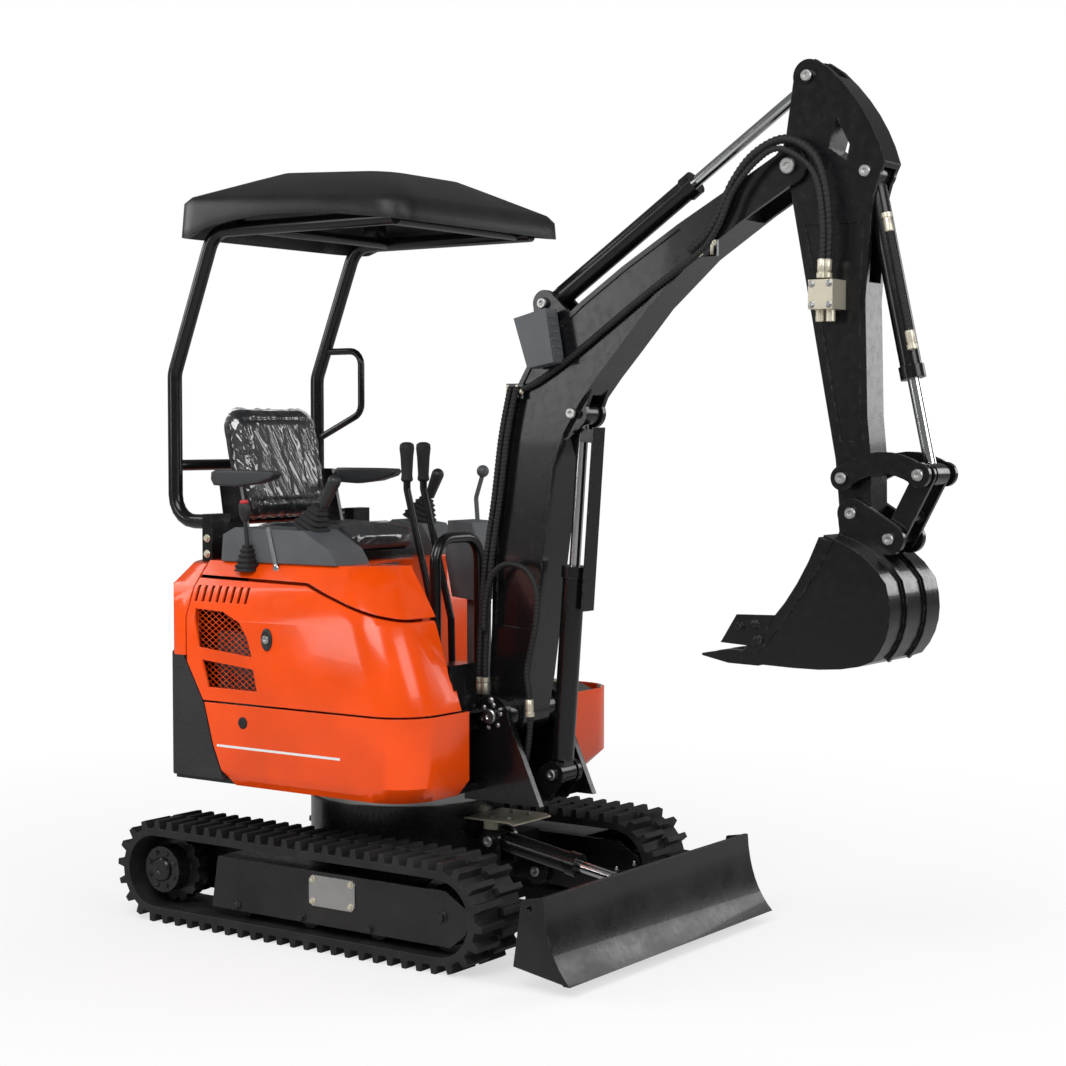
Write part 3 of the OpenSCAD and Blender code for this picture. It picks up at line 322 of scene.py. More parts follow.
def finish_piece(shape, name, material, body, smooth_angle=32):
    """Makes a piece of a bmesh, with its finish, and lets it ride on its body, if one is named."""
    mesh = bpy.data.meshes.new(name)
    bmesh.ops.recalc_face_normals(shape, faces=shape.faces)
    shape.to_mesh(mesh)
    shape.free()
    mesh.materials.append(material)
    mesh.shade_smooth()
    mesh.set_sharp_from_angle(angle=math.radians(smooth_angle))
    made = bpy.data.objects.new(name, mesh)
    bpy.context.collection.objects.link(made)
    if body:
        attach(made, body)
    return made


drive_axle, axle_height, hub_circle = -0.533, 0.1525, 0.052
hub_seat, hub_face, frame_face, cover_face = 0.505, 0.507, 0.515, 0.519
hub_steps = (
    (0.036, 0), (0.036, 0.008), (0.031, 0.0125), (0.012, 0.0135), (0.009, 0.0105), (0.002, 0.0105),
)
cover_bolts, frame_bolts = bmesh.new(), bmesh.new()
for side in (-1, 1):
    outward = (0, side, 0)
    for x in (0.074, 0.214):
        for z in (0.137, 0.199):
            add_bolt(cover_bolts, (x, side * cover_face, z), outward, 0.0078, x * 9)
    for k in range(8):
        turn = math.radians(22.5 + 45 * k)
        x, z = drive_axle + hub_circle * math.cos(turn), axle_height + hub_circle * math.sin(turn)
        add_bolt(frame_bolts, (x, side * hub_face, z), outward, 0.0062, turn)
    lathe(frame_bolts, (drive_axle, side * hub_seat, axle_height), outward, hub_steps, 40)
    for x in (-0.22, 0.03, 0.28):
        add_bolt(frame_bolts, (x, side * frame_face, 0.084), outward, 0.0105, 0.4 + x)
    add_bolt(frame_bolts, (-drive_axle, side * frame_face, axle_height), outward, 0.013, 0.9)
finish_piece(cover_bolts, "tension_cover_bolts", zinc_plate, "undercarriage")
finish_piece(frame_bolts, "track_frame_bolts", black_enamel, "undercarriage")

# Tracks: each a one-piece moulded rubber loop with staggered lugs outside and drive lugs
# inside, run dusty and a little chalky on the lug tips.


def rubber(name, colour, chalk):
    """Moulded rubber with fine grit and chalky high places."""
    material, tree = new_finish(name)
    rounded, edge = soft_edges(tree, 0.004)
    grit = tree.noise(300, 4)
    patch = tree.noise(14, 4).span(0.4, 0.75)
    close_finish(
        tree,
        Base_Color=(edge * 0.5 + patch * 0.3).tint(colour, chalk),
        Roughness=0.55 + patch * 0.2,
        Specular_IOR_Level=0.4,
        Normal=relief(tree, grit, 0.0004, rounded),
    )
    return material


track_rubber = rubber("track_rubber", (0.011, 0.011, 0.0115, 1), (0.05, 0.048, 0.045, 1))
dress(track_rubber, "track_right", "track_left")

# Dozer blade: a rolled mouldboard between flat end plates on two welded arms, with its
# cylinder between them under a folded zinc-plated guard. Its pins have greased ends.
dress(black_enamel, "blade", "blade_barrel")
dress(zinc_plate, "blade_guard")
chrome = bright_metal("hard_chrome", (0.78, 0.79, 0.8, 1), 0.06, (1, 1, 30))


def dress_rod(node, foot, eye):
    """Chrome on a cylinder's rod, and black enamel on its eye and whatever is fixed to it."""
    rod_reach, eye_length = 0.0172, 0.034
    dress(chrome, node)
    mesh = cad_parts[node].data
    mesh.materials.append(black_enamel)
    start, end = Vector((foot[0], 0, foot[1])), Vector((eye[0], 0, eye[1]))
    way = (end - start).normalized()
    for face in mesh.polygons:
        along = (face.center - start).dot(way)
        beside = (face.center - start - way * along).length
        if beside > rod_reach or along > (end - start).length - eye_length:
            face.material_index = 1


blade_pivot, blade_foot, blade_eye = (0.335, 0.130), (0.348, 0.264), (0.790, 0.190)
dress_rod("blade_rod", blade_foot, blade_eye)


def add_pin_end(shape, at, way, radius):
    """Adds the bright end of a pin, chamfered, with the centre hole it was turned on."""
    steps = ((1, -0.002), (1, 0.006), (0.86, 0.0085), (0.42, 0.0085), (0.26, 0.0055), (0.06, 0.005))
    lathe(shape, at, way, [(radius * r, h) for r, h in steps], 32)


def add_nipple(shape, at, way):
    """Adds a grease nipple: a small hexagon with a ball end."""
    hexagon = [(0.0055, -0.001), (0.0055, 0.005), (0.003, 0.006)]
    ball = [(0.003, 0.004), (0.0028, 0.009), (0.0042, 0.011), (0.0024, 0.0135), (0.0008, 0.0138)]
    lathe(shape, at, way, hexagon, 6)
    lathe(shape, at, way, ball, 12)


pin_radius, clevis_face, guard_top = 0.016, 0.054, 0.3363
blade_pins, blade_pin_ends = bmesh.new(), bmesh.new()
for side in (-1, 1):
    for y, facing in ((0.204, -side), (0.296, side)):
        at = (blade_pivot[0], side * y, blade_pivot[1])
        add_pin_end(blade_pins, at, (0, facing, 0), pin_radius)
    at = (blade_foot[0], side * clevis_face, blade_foot[1])
    add_pin_end(blade_pins, at, (0, side, 0), pin_radius)
    for x in (0.36, 0.42):
        add_bolt(blade_pins, (x, side * 0.05, guard_top), (0, 0, 1), 0.007)
    at = (blade_eye[0], side * clevis_face, blade_eye[1])
    add_pin_end(blade_pin_ends, at, (0, side, 0), pin_radius)
    add_nipple(blade_pin_ends, (blade_eye[0], side * 0.046, 0.228), (0, 0, 1))
finish_piece(blade_pins, "blade_pins", bare_steel, "undercarriage")
finish_piece(blade_pin_ends, "blade_rod_pin", bare_steel, "blade")

# House: pressed steel panels in orange enamel round a cast counterweight, on a flame-cut
# deck plate. The windows of the right cover are closed by an expanded steel screen.
deep_orange, rubbed_orange = (0.95, 0.082, 0.003, 1), (0.75, 0.2, 0.09, 1)
orange_enamel = enamel("orange_enamel", deep_orange, rubbed_orange, 0.15, 0.2)
dress(
    orange_enamel,
    "engine_hood",
    "skirts",
    "seat_pedestal",
    "fairing_right",
    "side_cover_left",
    "side_door",
    smooth_angle=46,
)


def moulded(name, colour, grain_depth, rough, grain=420, edge_radius=0.004):
    """Moulded plastic or cast skin with a leather-like grain."""
    material, tree = new_finish(name)
    rounded, edge = soft_edges(tree, edge_radius)
    cells = {"Vector": tree.place(), "Scale": grain, "Randomness": 1.0}
    pebble = tree.make("ShaderNodeTexVoronoi", {"feature": "SMOOTH_F1"}, cells, "Distance")
    haze = tree.noise(7, 4).span(0.35, 0.75)
    pale = tuple(c * 1.8 + 0.006 for c in colour[:3]) + (1,)
    close_finish(
        tree,
        Base_Color=(haze * 0.5 + edge * 0.4).tint(colour, pale),
        Roughness=rough + haze * 0.12,
        Normal=relief(tree, pebble, grain_depth, rounded),
    )
    return material


cast_skin = moulded("cast_skin", (0.017, 0.017, 0.019, 1), 0.0016, 0.5, 160)
engine_paint = moulded("engine_paint", (0.075, 0.07, 0.07, 1), 0.001, 0.5, 200)
dress(cast_skin, "counterweight", smooth_angle=40)
dress(engine_paint, "engine")
dress(black_enamel, "deck", "boom_bracket", "floor_plate")

# Shade sheet: a black sheet of painted shade inside the hood, behind the right cover's slots, that
# stands in for the shade in there and closes the view through it.
shade_sheet = bmesh.new()
shade_sheet_outline = ((-0.60, 0.886), (-0.37, 0.886), (-0.37, 1.055), (-0.55, 1.055), (-0.60, 1.012))
shade_sheet_sides = [[shade_sheet.verts.new((x, y, z)) for x, z in shade_sheet_outline] for y in (-0.302, -0.298)]
join_rings(shade_sheet, shade_sheet_sides)
finish_piece(shade_sheet, "painted_shade_sheet", black_enamel, "house")

# Screen of the right cover: diagonal strands of slit and stretched sheet, painted with the door,
# lying in the plane of the plate that the solids keep there.
screen = bmesh.new()
screen_x, screen_z, screen_plane = (-0.383, -0.116), (0.702, 0.953), -0.503
strand_pitch, strand_width, strand_depth, shortest_strand = 0.0175, 0.0016, 0.0019, 0.004
strand_rise, strand_offset = 0.66, 0.0006
rim_thick, rim_depth = 0.004, 0.012


def add_bar(shape, a, b, across, thick, depth):
    """Adds a flat bar from a to b, thick along across and deep on both sides of it."""
    along = (Vector(b) - Vector(a)).normalized()
    other = along.cross(Vector(across)).normalized() * depth / 2
    wide = Vector(across).normalized() * thick / 2
    corners = [(wide + other), (wide - other), (-wide - other), (-wide + other)]
    join_rings(shape, [[shape.verts.new(Vector(p) + c) for c in corners] for p in (a, b)])


screen_width, screen_height = screen_x[1] - screen_x[0], screen_z[1] - screen_z[0]
reach = screen_height / strand_rise
for lean in (1, -1):
    for k in range(int((screen_width + reach) / (strand_pitch / strand_rise))):
        start = screen_x[0] - reach + (k + 0.5) * strand_pitch / strand_rise
        low_at = max(0.0, (screen_x[0] - start) * strand_rise)
        high_at = min(screen_height, (screen_x[1] - start) * strand_rise)
        if high_at - low_at < shortest_strand:
            continue
        ends = []
        for up in (low_at, high_at):
            x = start + up / strand_rise
            z = screen_z[0] + up if lean > 0 else screen_z[1] - up
            ends.append((x, screen_plane + strand_offset * lean, z))
        add_bar(screen, *ends, (0, 1, 0), strand_width, strand_depth)
rim = [(screen_x[i], screen_plane, screen_z[j]) for i, j in ((0, 0), (1, 0), (1, 1), (0, 1))]
for a, b in zip(rim, rim[1:] + rim[:1]):
    add_bar(screen, a, b, (0, 1, 0), rim_thick, rim_depth)
door_screen = finish_piece(screen, "door_screen", orange_enamel, "side_door", 20)
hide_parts("door_grille")

# Stripes: a narrow band of white adhesive film on each skirt, cut from plain stock and stuck
# on below the seam.
white_film, tree = new_finish("white_film")
film_grain = tree.noise(240, 3)
close_finish(
    tree,
    Base_Color=film_grain.span(0.3, 0.8).tint((0.80, 0.80, 0.79, 1), (0.70, 0.70, 0.69, 1)),
    Roughness=0.3 + film_grain * 0.15,
    Normal=relief(tree, film_grain, 0.00008, tree.make("ShaderNodeNewGeometry", {}, {}, "Normal")),
)
stripes = bmesh.new()
stripe_z, stripe_rear, stripe_front, stripe_plane = (0.5475, 0.5545), -0.282, 0.187, 0.5304
stripe_cells = 12
for side in (-1, 1):
    stripe_length = stripe_front - stripe_rear
    cuts = [stripe_rear + stripe_length * k / stripe_cells for k in range(stripe_cells + 1)]
    rows = [[stripes.verts.new((x, side * stripe_plane, z)) for x in cuts] for z in stripe_z]
    for k in range(stripe_cells):
        corners = (rows[0][k], rows[0][k + 1], rows[1][k + 1], rows[1][k])
        stripes.faces.new(corners if side < 0 else corners[::-1])
finish_piece(stripes, "skirt_stripes", white_film, "house")

# Door lock: a chromed key barrel in an oval bezel of black plastic, pressed into the door, and
# a rubber plug that closes the hole in the skirt below it.
black_plastic = moulded("black_plastic", (0.013, 0.0135, 0.014, 1), 0.0004, 0.34)
bezel, barrel = bmesh.new(), bmesh.new()
lock_at, plug_at = Vector((-0.084, -0.530, 0.870)), (-0.179, -0.530, 0.624)
bezel_oval = (0.85, 1, 1.35)
bezel_steps = (
    (0.024, -0.002), (0.024, 0.003), (0.0205, 0.0055),
    (0.017, 0.0055), (0.016, 0.0035), (0.002, 0.0035),
)
lathe(bezel, lock_at, (0, -1, 0), bezel_steps, 40)
bmesh.ops.scale(bezel, vec=bezel_oval, space=Matrix.Translation(-lock_at), verts=bezel.verts)
barrel_steps = (
    (0.0125, 0.003), (0.0125, 0.008), (0.0112, 0.0098),
    (0.0042, 0.0098), (0.004, 0.006), (0.001, 0.006),
)
lathe(barrel, lock_at, (0, -1, 0), barrel_steps, 32)
finish_piece(bezel, "lock_bezel", black_plastic, "side_door")
finish_piece(barrel, "lock_barrel", chrome, "side_door")
skirt_plug = bmesh.new()
plug_steps = (
    (0.017, -0.001), (0.0172, 0.0015), (0.0145, 0.0042),
    (0.009, 0.0046), (0.008, 0.0036), (0.001, 0.0034),
)
lathe(skirt_plug, plug_at, (0, -1, 0), plug_steps, 32)
finish_piece(skirt_plug, "skirt_plug", track_rubber, "house")

# Operator's place: pressed floor with a ribbed rubber mat, moulded consoles beside the seat,
# levers with pleated boots, and a control column with a ball-ended lever.
dark_plastic = moulded("dark_plastic", (0.072, 0.078, 0.083, 1), 0.0004, 0.4)
dress(dark_plastic, "console_right", "console_left", "control_column")
dress(black_plastic, "joysticks")
dress(black_enamel, "front_box", "travel_levers", "guard_rail")

mat = bmesh.new()
mat_x, mat_y, mat_top, mat_ribs = (-0.045, 0.295), (-0.13, 0.47), 0.6724, 38
rib_tall, rib_width, column_gap = 0.0024, 0.009, (0.152, 0.238)
for k in range(mat_ribs):
    y = mat_y[0] + (mat_y[1] - mat_y[0]) * (k + 0.5) / mat_ribs
    if not column_gap[0] < y < column_gap[1]:
        rib_line = [(x, y, mat_top + rib_tall / 2) for x in mat_x]
        add_bar(mat, *rib_line, (0, 0, 1), rib_tall, rib_width)
finish_piece(mat, "floor_mat_ribs", track_rubber, "house")


def add_boot(shape, at, way, foot, head, tall, folds):
    """Adds a pleated rubber boot, square with round corners, from foot to head half width."""
    aim = Vector(way).to_track_quat("Z", "Y").to_matrix().to_4x4()
    aim.translation = Vector(at)
    rings, sides, pleat, squareness = [], 32, 0.0032, 5
    for step in range(folds * 4 + 1):
        t = step / (folds * 4)
        half = foot + (head - foot) * t
        half += (pleat, 0.0, -pleat, 0.0)[step % 4] if 0 < t < 1 else 0
        ring = []
        for k in range(sides):
            a = 2 * math.pi * k / sides
            c, s = math.cos(a), math.sin(a)
            r = half / (abs(c) ** squareness + abs(s) ** squareness) ** (1 / squareness)
            ring.append(shape.verts.new(aim @ Vector((r * c, r * s, tall * t))))
        rings.append(ring)
    join_rings(shape, rings)


boot_rubber = rubber("boot_rubber", (0.012, 0.012, 0.0125, 1), (0.03, 0.03, 0.03, 1))
boots = bmesh.new()
add_boot(boots, (-0.060, -0.366, 1.1795), (0.5, 0, 1), 0.047, 0.019, 0.075, 5)
add_boot(boots, (-0.230, 0.356, 1.1805), (0.45, 0, 1), 0.047, 0.019, 0.075, 5)
add_boot(boots, (-0.231, -0.447, 1.058), (0, -0.05, 1), 0.034, 0.012, 0.075, 5)
travel_lever_y = (-0.020, 0.060)
for y in travel_lever_y:
    add_boot(boots, (0.130, y, 0.686), (-0.05, 0, 1), 0.032, 0.014, 0.06, 4)
finish_piece(boots, "lever_boots", boot_rubber, "house")

dozer_lever, button = bmesh.new(), bmesh.new()
lever_lean = (-0.06, -0.03, 1)
lever_steps = (
    (0.006, 0), (0.006, 0.075), (0.011, 0.08), (0.0165, 0.095),
    (0.0175, 0.12), (0.015, 0.128), (0.004, 0.13),
)
lathe(dozer_lever, (-0.231, -0.451, 1.125), lever_lean, lever_steps, 28)
finish_piece(dozer_lever, "dozer_lever", black_plastic, "house")
red_plastic = moulded("red_plastic", (0.42, 0.012, 0.02, 1), 0.0002, 0.3)
button_steps = ((0.0125, 0), (0.0125, 0.007), (0.0105, 0.0105), (0.002, 0.0115))
lathe(button, (-0.2388, -0.4549, 1.2535), lever_lean, button_steps, 24)
finish_piece(button, "dozer_lever_button", red_plastic, "house")

throttle = bmesh.new()
throttle_foot, throttle_head = (-0.125, -0.4435, 1.065), (-0.158, -0.4435, 1.185)
add_bar(throttle, throttle_foot, throttle_head, (0, 1, 0), 0.003, 0.013)
pivot_steps = ((0.011, 0), (0.011, 0.006), (0.008, 0.008), (0.002, 0.008))
lathe(throttle, (-0.125, -0.441, 1.068), (0, -1, 0), pivot_steps, 20)
finish_piece(throttle, "throttle_lever", chrome, "house")

grips = bmesh.new()
grip_steps = (
    (0.0135, 0), (0.0185, 0.006), (0.0165, 0.02), (0.0195, 0.075),
    (0.0225, 0.1), (0.021, 0.113), (0.012, 0.119), (0.002, 0.12),
)
for y in travel_lever_y:
    lathe(grips, (0.020, y, 1.312), (0, 0, 1), grip_steps, 28)
finish_piece(grips, "travel_lever_grips", boot_rubber, "house")

fittings = bmesh.new()
floor_top = 0.672
for x, y in ((-0.03, -0.270), (-0.03, 0.270), (0.40, 0.2), (0.40, 0.46), (0.0, 0.5), (0.2, 0.5)):
    add_bolt(fittings, (x, y, floor_top), (0, 0, 1), 0.008, x)
for y in (-0.20, 0.20):
    add_bolt(fittings, (-0.0595, y, 0.92), (1, 0, 0), 0.008, 0.2)
finish_piece(fittings, "floor_bolts", zinc_plate, "house")

# Slide latch: a bright steel plate with a folded lip, screwed to the front of the pedestal
# under the cushion, and the black tongue that locks the slide behind its window.
latch_plate, latch_tongue = bmesh.new(), bmesh.new()
latch_ends, latch_low, latch_high, pedestal_face = (-0.087, 0.035), 1.022, 1.065, -0.060
latch_middle, latch_thick, lip_depth = (latch_low + latch_high) / 2, 0.002, 0.012
tongue_ends, tongue_tall, tongue_out = (-0.078, 0.026), 0.028, 0.0024
plate_line = [(pedestal_face + latch_thick / 2, y, latch_middle) for y in latch_ends]
add_bar(latch_plate, *plate_line, (1, 0, 0), latch_thick, latch_high - latch_low)
lip_line = [(pedestal_face + lip_depth / 2, y, latch_high) for y in latch_ends]
add_bar(latch_plate, *lip_line, (1, 0, 0), lip_depth, latch_thick)
tongue_line = [(pedestal_face + tongue_out, y, latch_middle) for y in tongue_ends]
add_bar(latch_tongue, *tongue_line, (1, 0, 0), latch_thick, tongue_tall)
for y in (-0.060, 0.010):
    add_bolt(latch_plate, (pedestal_face + 0.0034, y, latch_middle - 0.004), (1, 0, 0), 0.005, 0.4)
finish_piece(latch_plate, "slide_latch_plate", bare_steel, "house")
finish_piece(latch_tongue, "slide_latch_tongue", black_enamel, "house")

# Canopy: one bent tube frame, bolted beside the hood by its foot blocks, and a roof moulded in
# black plastic that lies on the rails of the frame.
dress(black_enamel, "canopy_frame")
roof_plastic = moulded("roof_plastic", (0.007, 0.0073, 0.0076, 1), 0.0005, 0.26, 420, 0.035)
dress(roof_plastic, "canopy_roof", smooth_angle=40)
canopy_bolts = bmesh.new()
foot_x, foot_face = -0.470, 0.370
for side in (-1, 1):
    for z in (1.095, 1.142):
        add_bolt(canopy_bolts, (foot_x, side * foot_face, z), (0, side, 0), 0.009, z * 3)
finish_piece(canopy_bolts, "canopy_bolts", zinc_plate, "house")

# Operator's seat: foam pads in dark grey vinyl on a steel slide, each blown up a little by its
# own foam, with a sewn groove round the sitting panel. The armrests are moulded wedges.
dress(black_enamel, "seat_frame")
seat_vinyl = moulded("seat_vinyl", (0.026, 0.028, 0.031, 1), 0.0005, 0.36, 330)
pad_across, pad_top, seam_inset, seam_depth, foam_rise = 0.404, 0.07, 0.055, 0.006, 0.010


def swell(pad):
    """Blows a pad up with Blender's cloth, moves no point further than foam_rise, and keeps it."""
    pressure, last_frame, cell = 4.0, 20, 0.006
    remesh = pad.modifiers.new("even_mesh", "REMESH")
    remesh.mode = "VOXEL"
    remesh.voxel_size = cell
    bpy.context.view_layer.update()
    depsgraph = bpy.context.evaluated_depsgraph_get()
    even = bpy.data.meshes.new_from_object(pad.evaluated_get(depsgraph))
    pad.modifiers.clear()
    pad.data = even
    before = [v.co.copy() for v in even.vertices]
    cloth = pad.modifiers.new("foam", "CLOTH")
    cloth.settings.quality = 4
    cloth.settings.use_pressure = True
    cloth.settings.uniform_pressure_force = pressure
    cloth.settings.effector_weights.gravity = 0
    cloth.point_cache.frame_start, cloth.point_cache.frame_end = 1, last_frame
    for number in range(1, last_frame + 1):
        bpy.context.scene.frame_set(number)
    depsgraph = bpy.context.evaluated_depsgraph_get()
    blown = bpy.data.meshes.new_from_object(pad.evaluated_get(depsgraph))
    pad.modifiers.clear()
    pad.data = blown
    for vertex, old in zip(blown.vertices, before):
        move = vertex.co - old
        if move.length > foam_rise:
            vertex.co = old + move * (foam_rise / move.length)
    bpy.context.scene.frame_set(1)


def pad_form(name, along, thick, corner, lift):
    """A pad as rings of rounded rectangles: lift gives each ring's height and inset."""
    shape, rings = bmesh.new(), []
    for height, inset in lift:
        ring = []
        for cx, cy, start in ((1, 1, 0), (-1, 1, 90), (-1, -1, 180), (1, -1, 270)):
            for k in range(7):
                a = math.radians(start + 15 * k)
                half_x, half_y = along / 2 - inset - corner, pad_across / 2 - inset - corner
                x, y = cx * half_x + corner * math.cos(a), cy * half_y + corner * math.sin(a)
                ring.append(shape.verts.new((x, y, height * thick)))
        rings.append(ring)
    join_rings(shape, rings)
    mesh = bpy.data.meshes.new(name)
    shape.to_mesh(mesh)
    shape.free()
    made = bpy.data.objects.new(name, mesh)
    bpy.context.collection.objects.link(made)
    return made


def sew(pad, along):
    """Presses a sewn groove round the sitting panel, and shallow channels into the panel."""
    half_x, half_y = along / 2 - seam_inset, pad_across / 2 - seam_inset
    seam_width, panel_start, channels, sharpness = 0.006, -0.02, 8, 14
    for vertex in pad.data.vertices:
        p = vertex.co
        if p.z < pad_top * 0.6:
            continue
        edge = max(abs(p.x) - half_x, abs(p.y) - half_y)
        groove = math.exp(-((edge / seam_width) ** 2)) * seam_depth
        channel = 0.0
        if edge < panel_start:
            wave = math.cos(p.y / (pad_across - 2 * seam_inset) * channels * math.pi)
            channel = max(0.0, wave) ** sharpness * seam_depth * 0.5
        p.z -= groove + channel


def set_pad(pad, at, tilt, along, node):
    swell(pad)
    sew(pad, along)
    smooth = pad.modifiers.new("round", "SUBSURF")
    smooth.levels = smooth.render_levels = 1
    pad.data.transform(Matrix.Translation(at) @ Matrix.Rotation(tilt, 4, "Y"))
    pad.data.materials.clear()
    pad.data.materials.append(seat_vinyl)
    pad.data.shade_smooth()
    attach(pad, "house")
    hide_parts(node)


crown = (
    (0.0, 0.03), (0.08, 0.012), (0.3, 0.005), (0.62, 0.006), (0.84, 0.016), (0.95, 0.034), (1.0, 0.06),
)
cushion_along, back_along, lean_back = 0.41, 0.366, math.radians(78)
cushion_at, back_at = Vector((-0.295, 0, 1.1015)), Vector((-0.5614, 0, 1.3585))
cushion = pad_form("seat_cushion_pad", cushion_along, 0.068, 0.05, crown)
set_pad(cushion, cushion_at, 0.0, cushion_along, "seat_cushion")
backrest = pad_form("seat_back_pad", back_along, 0.070, 0.06, crown)
set_pad(backrest, back_at, lean_back, back_along, "seat_back")

arm_side = (
    (-0.517, 1.318), (-0.505, 1.300), (-0.42, 1.296), (-0.33, 1.306), (-0.272, 1.322),
    (-0.259, 1.336), (-0.268, 1.3455), (-0.34, 1.347), (-0.50, 1.347), (-0.515, 1.340),
)
arm_y, arm_round = (0.262, 0.308), 0.009
arm_pivot, arm_pivot_steps = (-0.500, 0.231, 1.322), ((0.012, 0), (0.012, 0.036), (0.010, 0.037))
armrest = bmesh.new()
for side in (-1, 1):
    cheeks = [[armrest.verts.new((x, side * y, z)) for x, z in arm_side] for y in arm_y]
    join_rings(armrest, cheeks)
bmesh.ops.recalc_face_normals(armrest, faces=armrest.faces)
rims = [e for e in armrest.edges if abs(abs(e.verts[0].co.y) - abs(e.verts[1].co.y)) < 1e-6]
bmesh.ops.bevel(armrest, geom=rims, offset=arm_round, segments=5, profile=0.6, affect="EDGES")
for side in (-1, 1):
    x, y, z = arm_pivot
    lathe(armrest, (x, side * y, z), (0, side, 0), arm_pivot_steps, 24)
arm_pads = finish_piece(armrest, "armrest_pads", seat_vinyl, "house", 50)
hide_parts("armrests")

# Film: the clear bag that the seat is delivered in, drawn over both pads and crumpled in
# long slanting folds that catch the light.
clear_film, tree = new_finish("clear_film")
sheen = tree.make("ShaderNodeLayerWeight", {}, {"Blend": 0.25}, "Fresnel")
smear = tree.noise(60, 3, (1, 3, 1)).span(0.35, 0.8)
gloss = tree.make(
    "ShaderNodeBsdfPrincipled",
    {},
    {"Base Color": grey(0.95), "Metallic": 1.0, "Roughness": 0.09 + smear * 0.1},
)
see_through = tree.make("ShaderNodeBsdfTransparent", {}, {"Color": grey(0.97)})
film_mix = {0: 0.10 + sheen * 0.5 + smear * 0.05, 1: see_through, 2: gloss}
film_surface = tree.make("ShaderNodeMixShader", {}, film_mix)
tree.make("ShaderNodeOutputMaterial", {}, {"Surface": film_surface})


def crease(p, slant):
    """Height of the film's folds at a point, from 0 to 1: sharp ridges along a slant."""
    along = p.z * math.cos(slant) + p.y * math.sin(slant)
    beside = p.y * math.cos(slant) - p.z * math.sin(slant)
    height, sharpness = 0.0, 2.6
    for crowding, stretch, start, deep, share in ((27, 2.4, 3, 6, 0.75), (70, 8, 9, 16, 0.25)):
        spot = Vector((beside * crowding, along * stretch + start, p.x * deep))
        height += max(0.0, 1 - sharpness * abs(noise.noise(spot))) ** 2 * share
    return height


film_gap, fold_height, film_half, film_end, film_flat = 0.0022, 0.0062, 0.2148, -0.15, (0.48, 0.46)


def film_over(pad, name, front, slant):
    """Draws a film over the front and sides of a pad, with its folds standing proud."""
    depsgraph = bpy.context.evaluated_depsgraph_get()
    skin = bpy.data.meshes.new_from_object(pad.evaluated_get(depsgraph))
    shape = bmesh.new()
    shape.from_mesh(skin)
    behind = [f for f in shape.faces if f.normal.dot(front) < film_end]
    bmesh.ops.delete(shape, geom=behind, context="FACES")
    shape.normal_update()
    moves = [v.normal * (film_gap + fold_height * crease(v.co, slant)) for v in shape.verts]
    for vertex, move in zip(shape.verts, moves):
        vertex.co += move
        vertex.co.y = max(-film_half, min(film_half, vertex.co.y))
    film = finish_piece(shape, name, clear_film, "house", 180)


film_over(backrest, "seat_back_film", Vector((0.98, 0, 0.2)), -0.42)
film_over(cushion, "seat_cushion_film", Vector((0, 0, 1)), 1.2)

# Arm: boom, stick and bucket are welded boxes in gloss black, with chromed rods between
# them. The pins are hardened steel with bright ends, held by a bolt and greased by a nipple.
dress(black_enamel, "boom", "boom_barrel", "stick_barrel", "stick", "bucket_barrel", "boom_clips")
dress(black_enamel, "guide_links", "bucket_link", "bucket")
boom_pivot, pivot_radius = (0.425, 0.648), 0.022
boom_foot, boom_eye = (0.572, 0.481), (0.648, 1.514)
stick_foot, stick_eye = (0.543, 1.827), (1.379, 2.386)
bucket_foot, bucket_eye = (1.544, 2.129), (1.716, 1.352)
dress_rod("boom_rod", boom_foot, boom_eye)
dress_rod("stick_rod", stick_foot, stick_eye)
dress_rod("bucket_rod", bucket_foot, bucket_eye)

arm_pins = {
    "house": ((boom_pivot, 0.151, pivot_radius), (boom_foot, 0.054, pin_radius)),
    "boom": (
        ((1.334, 2.155), 0.073, pivot_radius),
        (boom_eye, 0.066, pin_radius),
        (stick_foot, 0.058, pin_radius),
    ),
    "stick": (
        (stick_eye, 0.056, pin_radius),
        (bucket_foot, 0.048, pin_radius),
        ((1.504, 1.342), 0.092, pin_radius),
    ),
    "bucket": (((1.522, 1.251), 0.072, pin_radius), ((1.629, 1.187), 0.072, pin_radius)),
    "guide_links": ((bucket_eye, 0.088, pin_radius),),
}
for body, ends in arm_pins.items():
    pin_ends = bmesh.new()
    for (x, z), out, radius in ends:
        for side in (-1, 1):
            add_pin_end(pin_ends, (x, side * (out - 0.001), z), (0, side, 0), radius * 0.98)
    finish_piece(pin_ends, body + "_pin_ends", bare_steel, body)

keepers = bmesh.new()
bracket_face, keeper_circle = 0.1452, 0.034
for side in (-1, 1):
    outward, y = (0, side, 0), side * bracket_face
    add_bolt(keepers, (boom_pivot[0], y, 0.694), outward, 0.0075)
    add_nipple(keepers, (0.462, y, 0.672), outward)
    for k in range(6):
        turn = math.radians(60 * k + 15)
        x = boom_pivot[0] + keeper_circle * math.cos(turn)
        z = boom_pivot[1] + keeper_circle * math.sin(turn)
        add_bolt(keepers, (x, y, z), outward, 0.0055, turn)
finish_piece(keepers, "boom_foot_bolts", bare_steel, "house")

